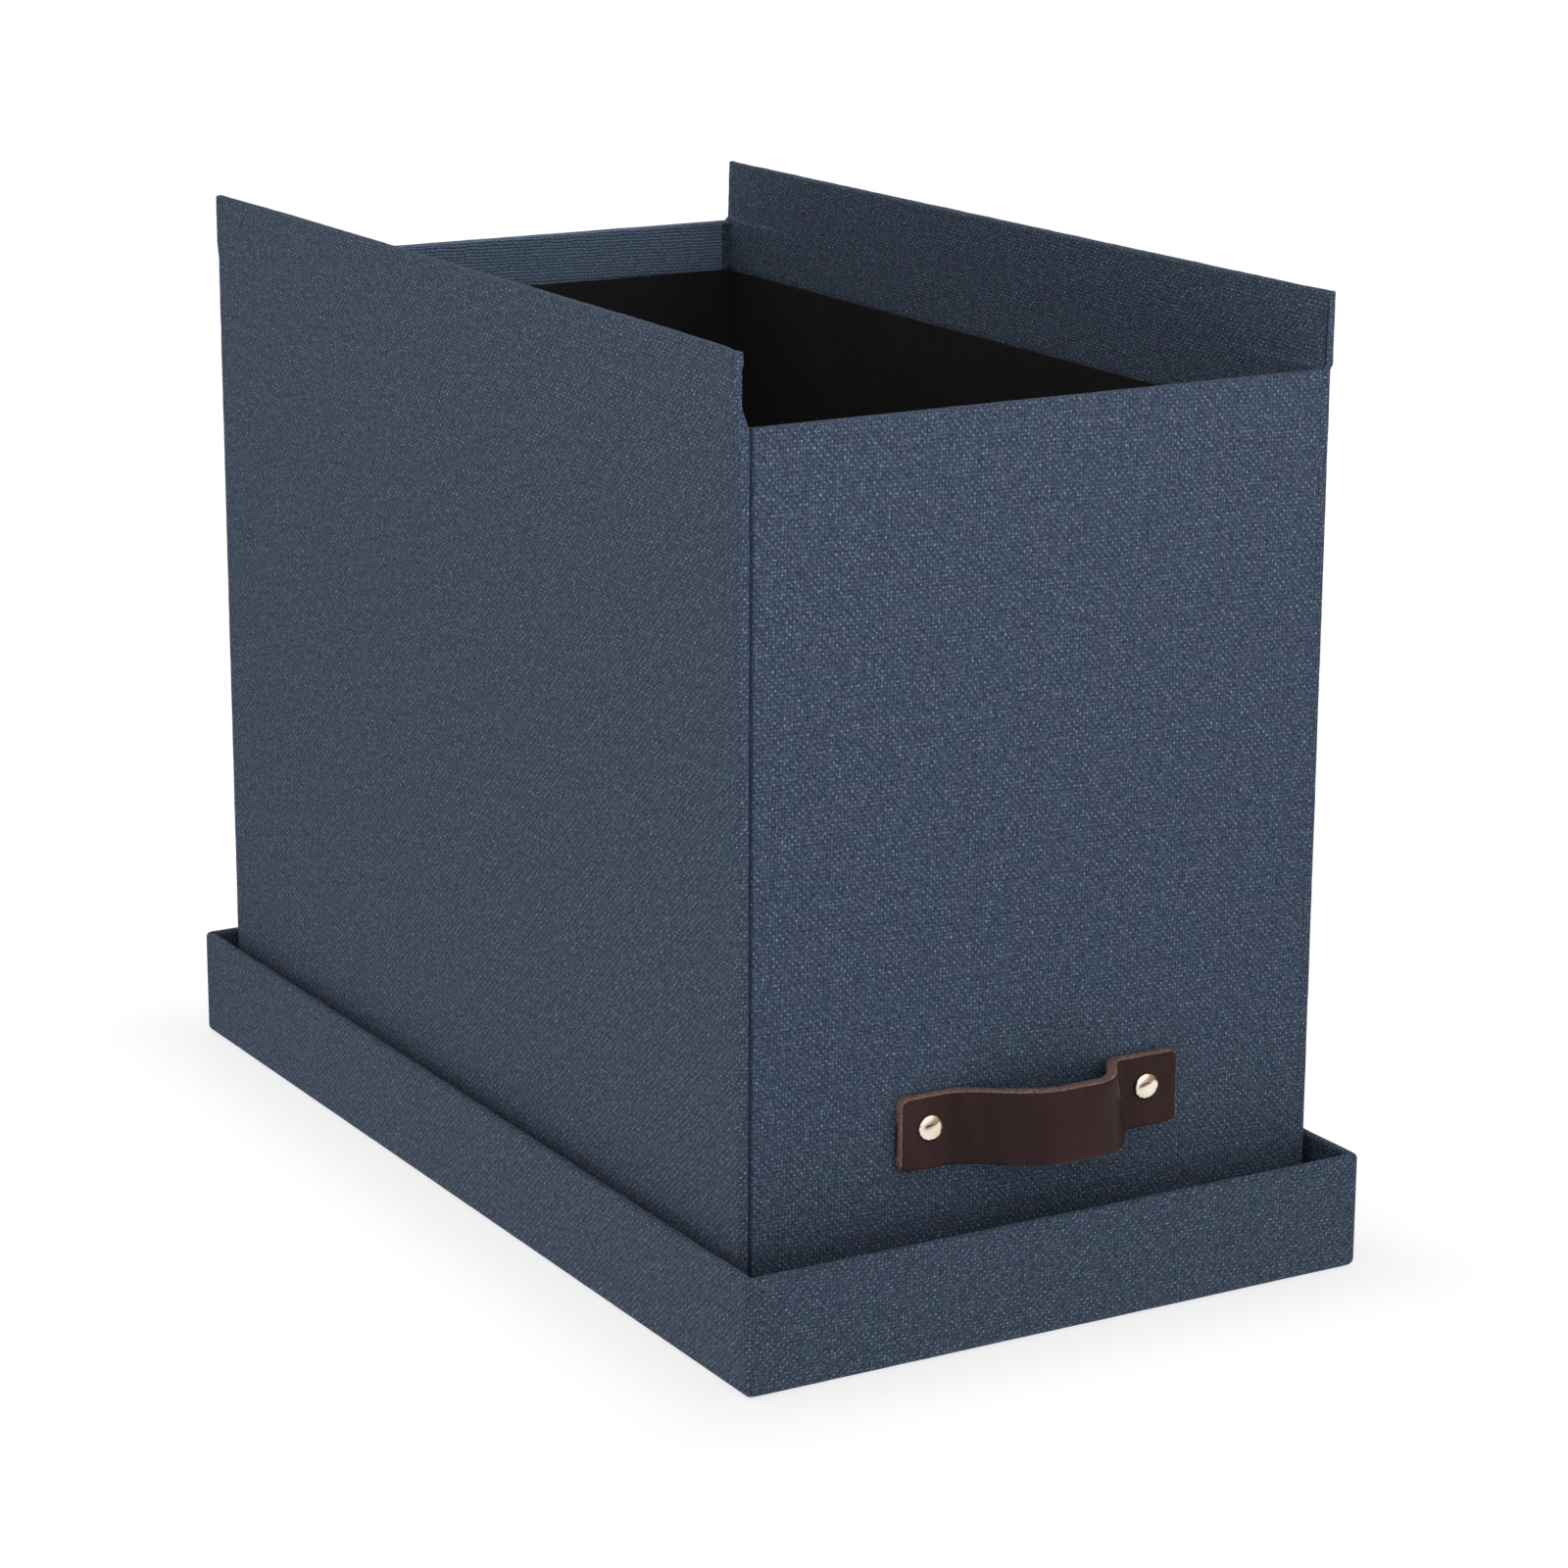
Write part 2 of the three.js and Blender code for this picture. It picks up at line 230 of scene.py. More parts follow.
@dataclass(frozen=True)
class WovenCanvas:
    """Bookbinder's canvas: piece-dyed cotton in plain weave.

    The warp is a little lighter than the weft, so the crossings alternate, and the yarn's twist
    draws them out aslant. The slubby yarn gives each crossing its own brightness. The threads' tops
    are painted lighter, with a scatter of pale points as painted highlights, and the gaps between
    the threads are painted darker, as painted shade. Where the cloth is drawn smooth over an edge,
    the weft lies in ribs, which are painted lighter and bluer as painted light, and painted shade
    darkens it along a fold line and in a seam.

    Args:
        across: The spacing of the warp threads, which run along V, in mm.
        along: The spacing of the weft threads, in mm.
        wander: How far a thread strays from its line, in mm.
        grain: The yarn's unevenness, as spots per mm and how much they show.
        weave: How much the threads' roundness shows as painted light: lighter tops, darker gaps.
        warp: How much lighter the warp is than the weft.
        twist: How much the crossings are drawn out by the yarn's twist.
        tone: How much whole threads differ.
        fleck: How much the pale points, painted highlights on the highest crossings, show.
        tint: How strongly the painted shade that is stored with the cloth darkens it.
        rib: How much the ribs of drawn cloth show, how much painted light lifts them, and how far they take
            over.
        tones: The colours from the painted shade of the gaps to the painted highlights of the palest
            points.
        dyes: What the colours are multiplied by where the dye took more and less.
        drawn_dye: The same where the cloth is drawn smooth, bluer as part of its painted light.
        depth: How deep the weave is, in mm.
    """

    across: float = 1.0
    along: float = 1.045
    wander: float = 0.5
    grain: tuple[Pair, ...] = ((2.2, 0.32), (1.3, 0.5), (0.65, 0.25), (0.3, 0.12))
    weave: float = 0.22
    warp: float = 0.066
    twist: float = 0.038
    tone: float = 0.18
    fleck: float = 0.28
    tint: float = 0.2
    rib: tuple[float, float, float] = (0.44, 0.74, 0.6)
    tones: Stops = (
        (0.0, "#1d2939"), (0.3, "#2f3b4c"), (0.5, "#3f4a5b"), (0.75, "#5c6778"), (1.0, "#96a1b1"),
    )
    dyes: Stops = ((0.35, "#f6ffff"), (0.65, "#fffbff"))
    drawn_dye: str = "#e4f4ff"
    depth: float = 0.16

    def material(self) -> Material:
        """Makes the canvas.

        Returns:
            A material that reads the flat cloth's map.
        """
        material, tree, _ = new_material("woven_canvas")
        flat = add(tree, "ShaderNodeUVMap", uv_map=WEAVE_MAP)
        mm = add(tree, VECTOR, flat, operation="SCALE", named={"Scale": 1 / MM})
        plane = {"noise_dimensions": "2D"}
        stray_size, dye_size, fleck_size = 0.16, 0.09, 1.7
        details = {stray_size: 3.0, dye_size: 2.0, fleck_size: 0.0} | {size: 0.0 for size, _ in self.grain}
        spots = {
            size: add(tree, NOISE, mm, None, size, detail, 0.6, **plane) for size, detail in details.items()
        }

        stray = add(tree, VECTOR, spots[stray_size].outputs["Color"], (0.5, 0.5, 0.5), operation="SUBTRACT")
        moved = add(tree, VECTOR, stray, operation="SCALE", named={"Scale": 2 * self.wander})
        split = add(tree, "ShaderNodeSeparateXYZ", add(tree, VECTOR, mm, moved, operation="ADD"))
        u = add(tree, "DIVIDE", split.outputs[0], self.across)
        v = add(tree, "DIVIDE", split.outputs[1], self.along)

        # both sets of threads pass over and under each other
        sin_u, sin_v = (add(tree, "SINE", add(tree, "MULTIPLY", way, math.pi)) for way in (u, v))
        over = add(tree, "MULTIPLY", sin_u, sin_v)
        share, under = (add(tree, "MULTIPLY_ADD", over, half, 0.5) for half in (0.5, -0.5))
        upright = add(tree, "MULTIPLY", add(tree, "ABSOLUTE", sin_u), share)
        ridge = add(tree, "ABSOLUTE", sin_v)
        height = add(tree, "MAXIMUM", upright, add(tree, "MULTIPLY", ridge, under))

        # each thread has a tone that changes along it
        tones = []
        for across, along, seed in ((u, v, 7.31), (v, u, 5.77)):
            thread = add(tree, "MULTIPLY", add(tree, "FLOOR", across), seed)
            line = add(tree, "ShaderNodeCombineXYZ", thread, add(tree, "MULTIPLY", along, 0.35))
            tones.append(add(tree, NOISE, line, None, 1.0, 1.0, 0.6, **plane))
        tone = add(tree, MIX, share, None, tones[1], tones[0])

        # what stands high is painted lighter and the gaps darker, a painted highlight and shade of the
        # weave; the warp and the thick places in the yarn are lighter too
        light = add(tree, "MULTIPLY_ADD", height, self.weave, 0.5 - 0.55 * self.weave)
        light = add(tree, "MULTIPLY_ADD", over, self.warp, light)
        aslant = add(tree, "COSINE", add(tree, "MULTIPLY", add(tree, "ADD", u, v), math.pi))
        light = add(tree, "MULTIPLY_ADD", aslant, -self.twist, light)
        for source, weight in ((tone, self.tone), *((spots[size], weight) for size, weight in self.grain)):
            light = add(tree, "MULTIPLY_ADD", add(tree, "ADD", source, -0.5), weight, light)
        # the pale points are painted highlights on the highest crossings
        high_spots = add(tree, "MULTIPLY", spots[fleck_size], height)
        pale = add(tree, RANGE, high_spots, 0.42, 0.75, **EASED)
        light = add(tree, "MULTIPLY_ADD", pale, self.fleck, light)

        # drawn cloth lies in ribs that are painted lighter, a painted light, and painted shade darkens it
        # along a fold line and in a seam
        tint = add(tree, "ShaderNodeAttribute", attribute_name=PAINTED_SHADING).outputs["Fac"]
        drawn = add(tree, "MAXIMUM", tint, 0.0)
        ribs = add(tree, "MULTIPLY_ADD", ridge, self.rib[0], self.rib[1])
        light = add(tree, MIX, add(tree, "MULTIPLY", drawn, self.rib[2]), None, light, ribs)
        light = add(tree, "MULTIPLY_ADD", add(tree, "MINIMUM", tint, 0.0), self.tint, light)
        dye = add(tree, RAMP, spots[dye_size], stops=self.dyes)
        # where the cloth is drawn smooth, the dye turns bluer, as part of its painted light
        dye = add(tree, MIX, drawn, named={6: dye, 7: linear(self.drawn_dye)}, **COLOURS).outputs[2]
        cloth = {0: 1.0, 6: add(tree, RAMP, light, stops=self.tones), 7: dye}
        colour = add(tree, MIX, named=cloth, blend_type="MULTIPLY", **COLOURS).outputs[2]
        relief = add(tree, "MULTIPLY_ADD", spots[self.grain[0][0]], 0.6, height)
        nap = {"Sheen Weight": 0.05, "Sheen Roughness": 0.6, "Sheen Tint": linear("#9fb0cc")}
        close(tree, colour, 0.88, relief, self.depth * MM, {"Specular IOR Level": 0.2} | nap)
        return material


@dataclass(frozen=True)
class BlackCard:
    """Coated lining card: dyed through and lightly calendered.

    It gives a deep, slightly bluish black with a faint cloudiness of the fibres.
    """

    stops: Stops = ((0.35, "#131315"), (0.65, "#1b1b1e"))

    def material(self) -> Material:
        """Makes the card.

        Returns:
            The material.
        """
        material, tree, spot = new_material("black_card")
        cloud, fibre = (add(tree, NOISE, spot, None, *size) for size in ((60.0, 4.0), (900.0, 3.0)))
        share = add(tree, "MULTIPLY", add(tree, "ADD", cloud, fibre), 0.5)
        rough = add(tree, "MULTIPLY_ADD", fibre, 0.2, 0.5)
        colour = add(tree, RAMP, share, stops=self.stops)
        close(tree, colour, rough, fibre, 0.04 * MM, {"Specular IOR Level": 0.35})
        return material


@dataclass(frozen=True)
class GreyBoard:
    """Binder's board: pressed waste paper, in mottled warm grey with flecks."""

    stops: Stops = ((0.2, "#6d675c"), (0.6, "#a09888"))

    def material(self) -> Material:
        """Makes the board.

        Returns:
            The material.
        """
        material, tree, spot = new_material("grey_board")
        mottle = add(tree, NOISE, spot, None, 220.0, 5.0)
        fleck = add(tree, "ShaderNodeTexVoronoi", named={"Vector": spot, "Scale": 700.0})
        colour = add(tree, RAMP, add(tree, "MULTIPLY_ADD", fleck, -0.25, mottle), stops=self.stops)
        close(tree, colour, 0.95, mottle, 0.05 * MM, {"Specular IOR Level": 0.15})
        return material


@dataclass(frozen=True)
class GummedTape:
    """Gummed kraft paper tape: buff, with fine lengthwise fibres."""

    stops: Stops = ((0.3, "#a48f69"), (0.7, "#c7b48e"))

    def material(self) -> Material:
        """Makes the tape.

        Returns:
            The material.
        """
        material, tree, spot = new_material("gummed_tape")
        drawn = add(tree, "ShaderNodeMapping", spot, named={"Scale": (1.0, 1.0, 0.2)})
        fibre = add(tree, NOISE, drawn, None, 800.0, 4.0)
        colour = add(tree, RAMP, fibre, stops=self.stops)
        close(tree, colour, 0.85, fibre, 0.03 * MM, {"Specular IOR Level": 0.2})
        return material


@dataclass(frozen=True)
class StrapLeather:
    """Vegetable-tanned saddle leather, dyed dark brown on the face and left raw where it is cut.

    The face has a low satin shine and a close grain, with soft upright streaks of lighter colour that are a
    painted sheen. The cut edge shows paler, rough fibres.
    """

    face: Stops = ((0.4, "#1f1011"), (0.95, "#442a2a"))
    fibres: Stops = ((0.3, "#44312d"), (0.68, "#a0847a"))

    def material(self) -> Material:
        """Makes the leather.

        Returns:
            A material with the raw edge where the attribute says.
        """
        material, tree, spot = new_material("strap_leather")
        grain = add(tree, "ShaderNodeTexVoronoi", named={"Vector": spot, "Scale": 2200.0})
        drawn = add(tree, VECTOR, spot, (1.0, 1.0, 0.3), operation="MULTIPLY")
        # soft upright streaks: in the colour a painted sheen, and a real change of the roughness
        pull = add(tree, NOISE, drawn, None, 60.0, 2.0)
        fine = add(tree, NOISE, spot, None, 1100.0, 3.0)
        fuzz = add(tree, NOISE, spot, None, 1500.0, 4.0, 0.7)
        face = add(tree, RAMP, add(tree, "MULTIPLY_ADD", fine, 0.3, pull), stops=self.face)
        raw = add(tree, RAMP, fuzz, stops=self.fibres)
        edge = add(tree, "ShaderNodeAttribute", attribute_name=RAW_EDGE).outputs["Fac"]
        is_raw = add(tree, RANGE, add(tree, "MULTIPLY_ADD", fine, 0.5, edge), 0.62, 0.86, **EASED)
        colour = add(tree, MIX, is_raw, named={6: face, 7: raw}, **COLOURS).outputs[2]
        rough = add(tree, MIX, is_raw, None, add(tree, "MULTIPLY_ADD", pull, 0.25, 0.3), 0.95)
        relief = add(tree, MIX, is_raw, None, add(tree, "MULTIPLY", grain, 0.25), fuzz)
        close(tree, colour, rough, relief, 0.12 * MM, {"Specular IOR Level": 0.16})
        return material


@dataclass(frozen=True)
class NickelPlate:
    """Polished nickel plate on brass: a bright, faintly warm mirror with hair-fine handling marks."""

    stops: Stops = ((0.3, "#e8dfcf"), (0.7, "#f7f2ea"))

    def material(self) -> Material:
        """Makes the plate.

        Returns:
            The material.
        """
        material, tree, spot = new_material("nickel_plate")
        cloud, mark = (add(tree, NOISE, spot, None, size, 2.0) for size in (260.0, 1800.0))
        rough = add(tree, "MULTIPLY_ADD", mark, 0.08, 0.1)
        close(tree, add(tree, RAMP, cloud, stops=self.stops), rough, mark, 0.004 * MM, {"Metallic": 1.0})
        return material


FINISHES = {
    Slot.CANVAS: WovenCanvas(),
    Slot.BOARD: GreyBoard(),
    Slot.CARD: BlackCard(),
    Slot.TAPE: GummedTape(),
    Slot.LEATHER: StrapLeather(),
    Slot.NICKEL: NickelPlate(),
}


@cache
def finish_of(slot: Slot) -> Material:
    """Returns the material of a finish, made once."""
    return FINISHES[slot].material()


def dress(body: Body, board: str, linings: Sequence[str]) -> None:
    """Gives a half's CAD nodes that stay in view their finishes.

    Args:
        body: The half.
        board: Its bottom board.
        linings: Its linings.
    """
    nodes = {f"{board}_board": Slot.BOARD} | {f"{name}_lining": Slot.CARD for name in linings}
    nodes |= {f"{end.label}_{side.label}_stay": Slot.TAPE for end, side in product(End, Side)}
    for name, slot in nodes.items():
        slots = bpy.data.objects[f"{body.value}_{name}"].data.materials
        slots.clear()
        slots.append(finish_of(slot))


# ---- Meshes ----

THICKENED = ("SOLIDIFY", {"thickness": THREAD, "offset": -1.0, "use_even_offset": True, "use_rim": True})
WEIGHTED = ("WEIGHTED_NORMAL", {"keep_sharp": False, "weight": 80})


@dataclass
class Shell:
    """The outer face of a sheet or board: its points, its faces and each corner's flat place."""

    points: np.ndarray
    faces: list[tuple[int, ...]]
    flat: Flat | np.ndarray

    def joined(self, other: "Shell") -> "Shell":
        """Returns this shell and another as one."""
        faces = self.faces + [tuple(i + len(self.points) for i in face) for face in other.faces]
        return Shell(np.vstack([self.points, other.points]), faces, [*self.flat, *other.flat])

    def laid(self, angle: float, flip: bool = False) -> "Shell":
        """Lays the sheet on the cloth that it is cut from.

        Args:
            angle: How far the sheet is turned on the cloth, in degrees.
            flip: Whether its flat places are as seen from its back.

        Returns:
            The same sheet, with its places on the cloth.
        """
        cos, sin = math.cos(math.radians(angle)), math.sin(math.radians(angle))
        u, v = np.array(self.flat).T * ([-1 if flip else 1], [1])
        return Shell(self.points, self.faces, np.column_stack((u * cos + v * sin, v * cos - u * sin)))


def smooth(share: np.ndarray | float) -> np.ndarray | float:
    """Eases a share from 0 to 1, and keeps it there outside."""
    t = np.clip(share, 0, 1)
    return t * t * (3 - 2 * t)


def ripples(points: np.ndarray, lengths: Pair, weight: float, seeds: Pair) -> np.ndarray:
    """Gives each point a smooth random number, from wide ripples and narrow ones.

    Args:
        points: The points, in metres.
        lengths: How far apart the wide and the narrow ripples are, in metres.
        weight: How high the narrow ones are beside the wide ones.
        seeds: Which ripples.

    Returns:
        About -1 to 1 for each point.
    """
    total = np.zeros(len(points))
    for length, seed, share in zip(lengths, seeds, (1, weight), strict=True):
        shift = Vector((seed, 1.7 * seed, -seed))
        total += share * np.array([noise.noise(Vector(p) / length + shift) for p in points])
    return total


@dataclass
class FoldedBox:
    """A box with softly folded edges, made of a grid on each of its sides.

    Args:
        low: Its lowest corner.
        high: Its highest corner.
        fold: The radius of its edges.
        main: The axis across the wall that it is.
        facing: Which way its outer face looks along that axis.
        hard: Sides whose edges stay sharp.
        lines: Extra grid lines on each axis.
        segments: Steps in half an edge.
    """

    low: np.ndarray
    high: np.ndarray
    fold: float
    main: Axis = Axis.X
    facing: int = 1
    hard: Edges = ()
    lines: tuple[Sequence[float], Sequence[float], Sequence[float]] = ((), (), ())
    segments: int = 4

    def ticks(self, axis: int) -> np.ndarray:
        """Gives the grid lines along an axis.

        Args:
            axis: The axis.

        Returns:
            Their places.
        """
        low, high, room = self.low[axis], self.high[axis], 1.01 * self.fold
        angles = [math.pi / 4 * k / self.segments for k in range(self.segments + 1)]
        turns = [self.fold * (1 - math.tan(angle)) for angle in angles]
        places = [low, high, *(place for place in self.lines[axis] if low + room < place < high - room)]
        if (axis, -1) not in self.hard:
            places += [low + step for step in turns]
        if (axis, 1) not in self.hard:
            places += [high - step for step in turns]
        return np.unique(np.round(places, 7))

    def unfold(self, axis: int, sign: int, point: np.ndarray) -> Pair:
        """Gives a point's place on the flat cloth.

        Args:
            axis: The axis that the point's side looks along.
            sign: Which way it looks.
            point: The point on the box with sharp edges.

        Returns:
            The place, in metres.
        """
        other = 1 - self.main
        depth = abs(point[self.main] - (self.high if self.facing > 0 else self.low)[self.main])
        u, v = point[other], point[2]
        if axis == other:
            u += sign * depth
        elif axis == 2:
            v += sign * depth
        elif sign != self.facing:
            v = 2 * self.high[2] + depth - v
        return u, v

    def shell(
        self,
        keep: Callable[[int, int, np.ndarray], bool] = lambda axis, sign, middle: True,
        fold_at: Callable[[np.ndarray], np.ndarray] | None = None,
    ) -> tuple[Shell, np.ndarray]:
        """Makes the box's surface.

        Args:
            keep: Says whether a face of a side is wanted, from its middle.
            fold_at: The radius of the edges near each point, where it isn't the same all over.

        Returns:
            The shell, and its points before the edges were folded.
        """
        ticks = [self.ticks(axis) for axis in range(3)]
        found: dict[tuple[float, ...], tuple[int, np.ndarray]] = {}
        faces, flat = [], []
        for axis, sign in product(range(3), (-1, 1)):
            first, second = (axis + 1) % 3, (axis + 2) % 3
            for i, j in product(range(len(ticks[first]) - 1), range(len(ticks[second]) - 1)):
                cell = np.full((4, 3), self.high[axis] if sign > 0 else self.low[axis])
                cell[:, first] = ticks[first][[i, i + 1, i + 1, i]]
                cell[:, second] = ticks[second][[j, j, j + 1, j + 1]]
                if keep(axis, sign, cell.mean(axis=0)):
                    keyed = [(tuple(np.round(at, 7)), at) for at in cell[::sign]]
                    faces.append(tuple(found.setdefault(key, (len(found), at))[0] for key, at in keyed))
                    flat += [self.unfold(axis, sign, at) for _, at in keyed]
        sharp = np.array([at for _, at in found.values()])
        fold = (np.full(len(sharp), self.fold) if fold_at is None else fold_at(sharp))[:, None]
        soft = {
            sign: np.array([float((axis, sign) not in self.hard) for axis in range(3)]) for sign in (-1, 1)
        }
        core = np.clip(sharp, self.low + fold * soft[-1], self.high - fold * soft[1])
        out = sharp - core
        reach = np.linalg.norm(out, axis=1, keepdims=True)
        points = np.where(reach > LEAST, core + fold * out / np.maximum(reach, LEAST), sharp)
        return Shell(points, faces, flat), sharp


def tube(rings: Sequence[Sequence[int]]) -> list[tuple[int, ...]]:
    """Joins closed rings of points, each to the next.

    Args:
        rings: The points' numbers in each ring, where a pole is one number all round.

    Returns:
        The faces.
    """
    faces = []
    for below, above in zip(rings, rings[1:]):
        for k, n in enumerate((*range(1, len(below)), 0)):
            faces.append(tuple(dict.fromkeys((below[k], below[n], above[n], above[k]))))
    return faces


def arc(centre: Sequence[float], radius: float, start: float, count: int, turn: float = 90) -> Flat:
    """Returns points on an arc, from an angle in degrees through a turn of so many steps."""
    angles = np.radians(np.linspace(start, start + turn, count + 1))
    return [(centre[0] + radius * math.cos(a), centre[1] + radius * math.sin(a)) for a in angles]


def linked(name: str, mesh: Mesh | Camera | Light) -> Object:
    """Puts a new object in the scene.

    Args:
        name: Its name.
        mesh: Its mesh, or the camera or lamp that it is.

    Returns:
        The object.
    """
    obj = bpy.data.objects.new(name, mesh)
    bpy.context.scene.collection.objects.link(obj)
    return obj


def mesh_object(name: str, shell: Shell, slot: Slot, *modifiers: Modifier) -> Object:
    """Makes an object from a shell.

    Args:
        name: The piece's name.
        shell: Its surface.
        slot: Its finish.
        modifiers: What is done to its mesh.

    Returns:
        The object, at the origin.
    """
    mesh = bpy.data.meshes.new(name)
    mesh.from_pydata([tuple(point) for point in shell.points], [], shell.faces)
    layer = mesh.uv_layers.new(name=WEAVE_MAP)
    layer.data.foreach_set("uv", np.array(shell.flat, np.float32).ravel())
    mesh.materials.append(finish_of(slot))
    mesh.validate()
    obj = linked(name, mesh)
    return applied(obj, *modifiers) if modifiers else obj


def applied(obj: Object, *modifiers: Modifier) -> Object:
    """Puts modifiers on an object and makes their result its mesh.

    Args:
        obj: The object.
        modifiers: The modifiers.

    Returns:
        The same object.
    """
    obj.data.shade_smooth()
    for kind, settings in modifiers:
        modifier = obj.modifiers.new(kind.lower(), kind)
        for key, value in settings.items():
            setattr(modifier, key, value)
    graph = bpy.context.evaluated_depsgraph_get()
    result = obj.evaluated_get(graph)
    mesh = bpy.data.meshes.new_from_object(result, preserve_all_data_layers=True, depsgraph=graph)
    obj.modifiers.clear()
    old, obj.data = obj.data, mesh
    bpy.data.meshes.remove(old)
    mesh.name = obj.name
    return obj


def store(obj: Object, name: str, values: Sequence[float]) -> None:
    """Stores a number with each point of an object."""
    layer = obj.data.attributes.new(name, "FLOAT", "POINT")
    layer.data.foreach_set("value", np.array(values, np.float32))


def mount(obj: Object, body: Body, slot: Slot, *nodes: str) -> Object:
    """Puts a finished piece on its body.

    Args:
        obj: The piece.
        body: What it moves with.
        slot: The record's name for its finish; not used.
        nodes: The CAD nodes that it stands for.

    Returns:
        The piece.
    """
    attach(obj, body.value)
    if nodes:
        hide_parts(*nodes)
    return obj


def corners(*nodes: str) -> tuple[np.ndarray, np.ndarray]:
    """Returns the lowest and highest corner of some CAD nodes together."""
    lows, highs = zip(*(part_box(node) for node in nodes))
    return np.array(lows, float).min(axis=0), np.array(highs, float).max(axis=0)


def steps(low: float, high: float, size: float) -> list[float]:
    """Returns evenly spaced places from low to high, about size apart."""
    return list(np.linspace(low, high, max(2, round((high - low) / size) + 1)))


# ---- Cloth covers ----


def glue_sheet(obj: Object, node: str, flat: Sequence[float], *boards: str, laid: bool = False) -> Object:
    """Args:
        obj: The sheet.
        node: The CAD node that it stands for, which starts with the name of its half.
        flat: The width and length that it was cut to; not used.
        boards: What it is glued to; not used.
        laid: Whether it lies flat, and isn't stretched round an edge; not used.

    Returns:
        The sheet.
    """
    mount(obj, Body(node.split("_")[0]), Slot.CANVAS, node)
    return obj


@dataclass
class SideCover:
    """The canvas on a long side of the box, and the board under it.

    It is drawn round both upright edges, over the top and down the inside. Above the notch it
    wraps the whole flap, where it is pulled in towards the top, and its corners are folded over.

    Args:
        side: Which side.
        notch: Height of the tops of the ends.
        turned: Height at which the turned-in cloth ends.
        flare: How far the flap stands out, at its front and its rear.
        pinch: How much thinner the flap's ends are than the wall, at their foot and their top.
        foot: The height over which they get thinner, above the notch.
        run: The height over which the flap comes to stand out, in the same way.
        lift: How much higher than its board the flap stands, at its front and its rear.
        ear: How far the folded corner stands in, at its front and its rear.
        fold: The radius of the folded edges.
        crisp: The radius of the folded edges at the flap's ends.
        tight: The radius where the cloth goes into the seam with an end.
        overlap: How far from the flap's front end the turned cloth's edge shows.
        crease: How dark the painted shade of that edge's line is.
        seam: The gap between this cover and an end's.
        lap: How far the tabs at the inner corners reach along the ends, and how far they stand off.
        wave: How uneven the folded edges are.
        grain: How far the sheet is turned on its cloth, in degrees.
    """

    side: Side
    notch: float
    turned: float
    flare: Pair
    pinch: Pair = (0.7 * MM, 0.8 * MM)
    foot: float = 5.6 * MM
    run: float = 5.6 * MM
    lift: Pair = (0.0, 0.0)
    ear: Pair = (0.5 * MM, 0.0)
    fold: float = 0.85 * MM
    crisp: float = 0.7 * MM
    tight: float = 0.35 * MM
    overlap: float = 0.7 * MM
    crease: float = 0.0
    seam: float = 0.2 * MM
    lap: Pair = (3.1 * MM, 0.42 * MM)
    wave: float = 0.09 * MM
    grain: float = 87.5

    def __post_init__(self) -> None:
        """Measures the wall."""
        self.label = self.side.label
        self.low, self.high = corners(f"box_{self.label}_cover")
        self.low[2] = corners("box_base_cover")[0][2]
        self.middle = (self.low[1] + self.high[1]) / 2
        self.half = (self.high[1] - self.low[1]) / 2
        self.behind_end = self.half - WALL - self.seam
        self.inner, self.outer = (self.low[0], self.high[0])[:: self.side]

    def build(self) -> list[Object]:
        """Makes the cover and its board.

        Returns:
            The board and the cover, on their body.
        """
        low, high, edge = self.low, self.high, self.low[1] + self.overlap
        row, fine_row = 4 * MM, 0.75 * MM
        along = [
            *steps(low[1] + 4 * MM, high[1], 3 * MM),
            *steps(edge - 0.5 * MM, edge + 0.5 * MM, 0.25 * MM),
            self.middle - self.behind_end,
            self.middle + self.behind_end,
        ]
        up = [*steps(low[2], self.notch - 2 * MM, row), *steps(self.notch - 2 * MM, high[2], fine_row)]
        up += [self.turned, self.notch + self.seam]
        shape = FoldedBox(low, high, self.fold, facing=self.side, lines=((), along, up))
        shell, sharp = shape.shell(self.covers, self.radius)
        shell.points += self.shaping(sharp)
        shell = shell.joined(self.tabs()).laid(self.grain, flip=self.side < 0)
        board = self.board()
        obj = mesh_object(f"box_{self.label}_canvas", shell, Slot.CANVAS, THICKENED, WEIGHTED)
        # the flap gets a painted shade along the turned cloth's edge
        store(obj, PAINTED_SHADING, self.tint(np.array([vertex.co for vertex in obj.data.vertices])))
        flat = (high[1] - low[1] + 2 * WALL, 2 * high[2] - low[2] + 2 * WALL - self.turned)
        return [board, glue_sheet(obj, f"box_{self.label}_cover", flat, board.name)]

    def board(self) -> Object:
        """Makes the board inside, which follows its cloth.

        Returns:
            The board, on its body.
        """
        node = f"box_{self.label}_board"
        low, high = corners(node)
        rows = [self.notch + d * MM for d in (-2, 0, 1, 4, 8)]
        lines = ((), steps(low[1], high[1], 6 * MM), rows)
        shell, sharp = FoldedBox(low, high, 0.3 * MM, lines=lines, segments=2).shell()
        shell.points += self.shaping(sharp, rough=False)
        obj = mesh_object(f"box_{self.label}_core", shell, Slot.BOARD, WEIGHTED)
        return mount(obj, Body.BOX, Slot.BOARD, node)

    def covers(self, axis: int, sign: int, at: np.ndarray) -> bool:
        """Says whether the cloth is on a face of the wall, from the face's middle."""
        clear = at[2] > self.notch + self.seam or abs(at[1] - self.middle) < self.behind_end
        return axis != 0 or sign == self.side or (at[2] > self.turned and clear)

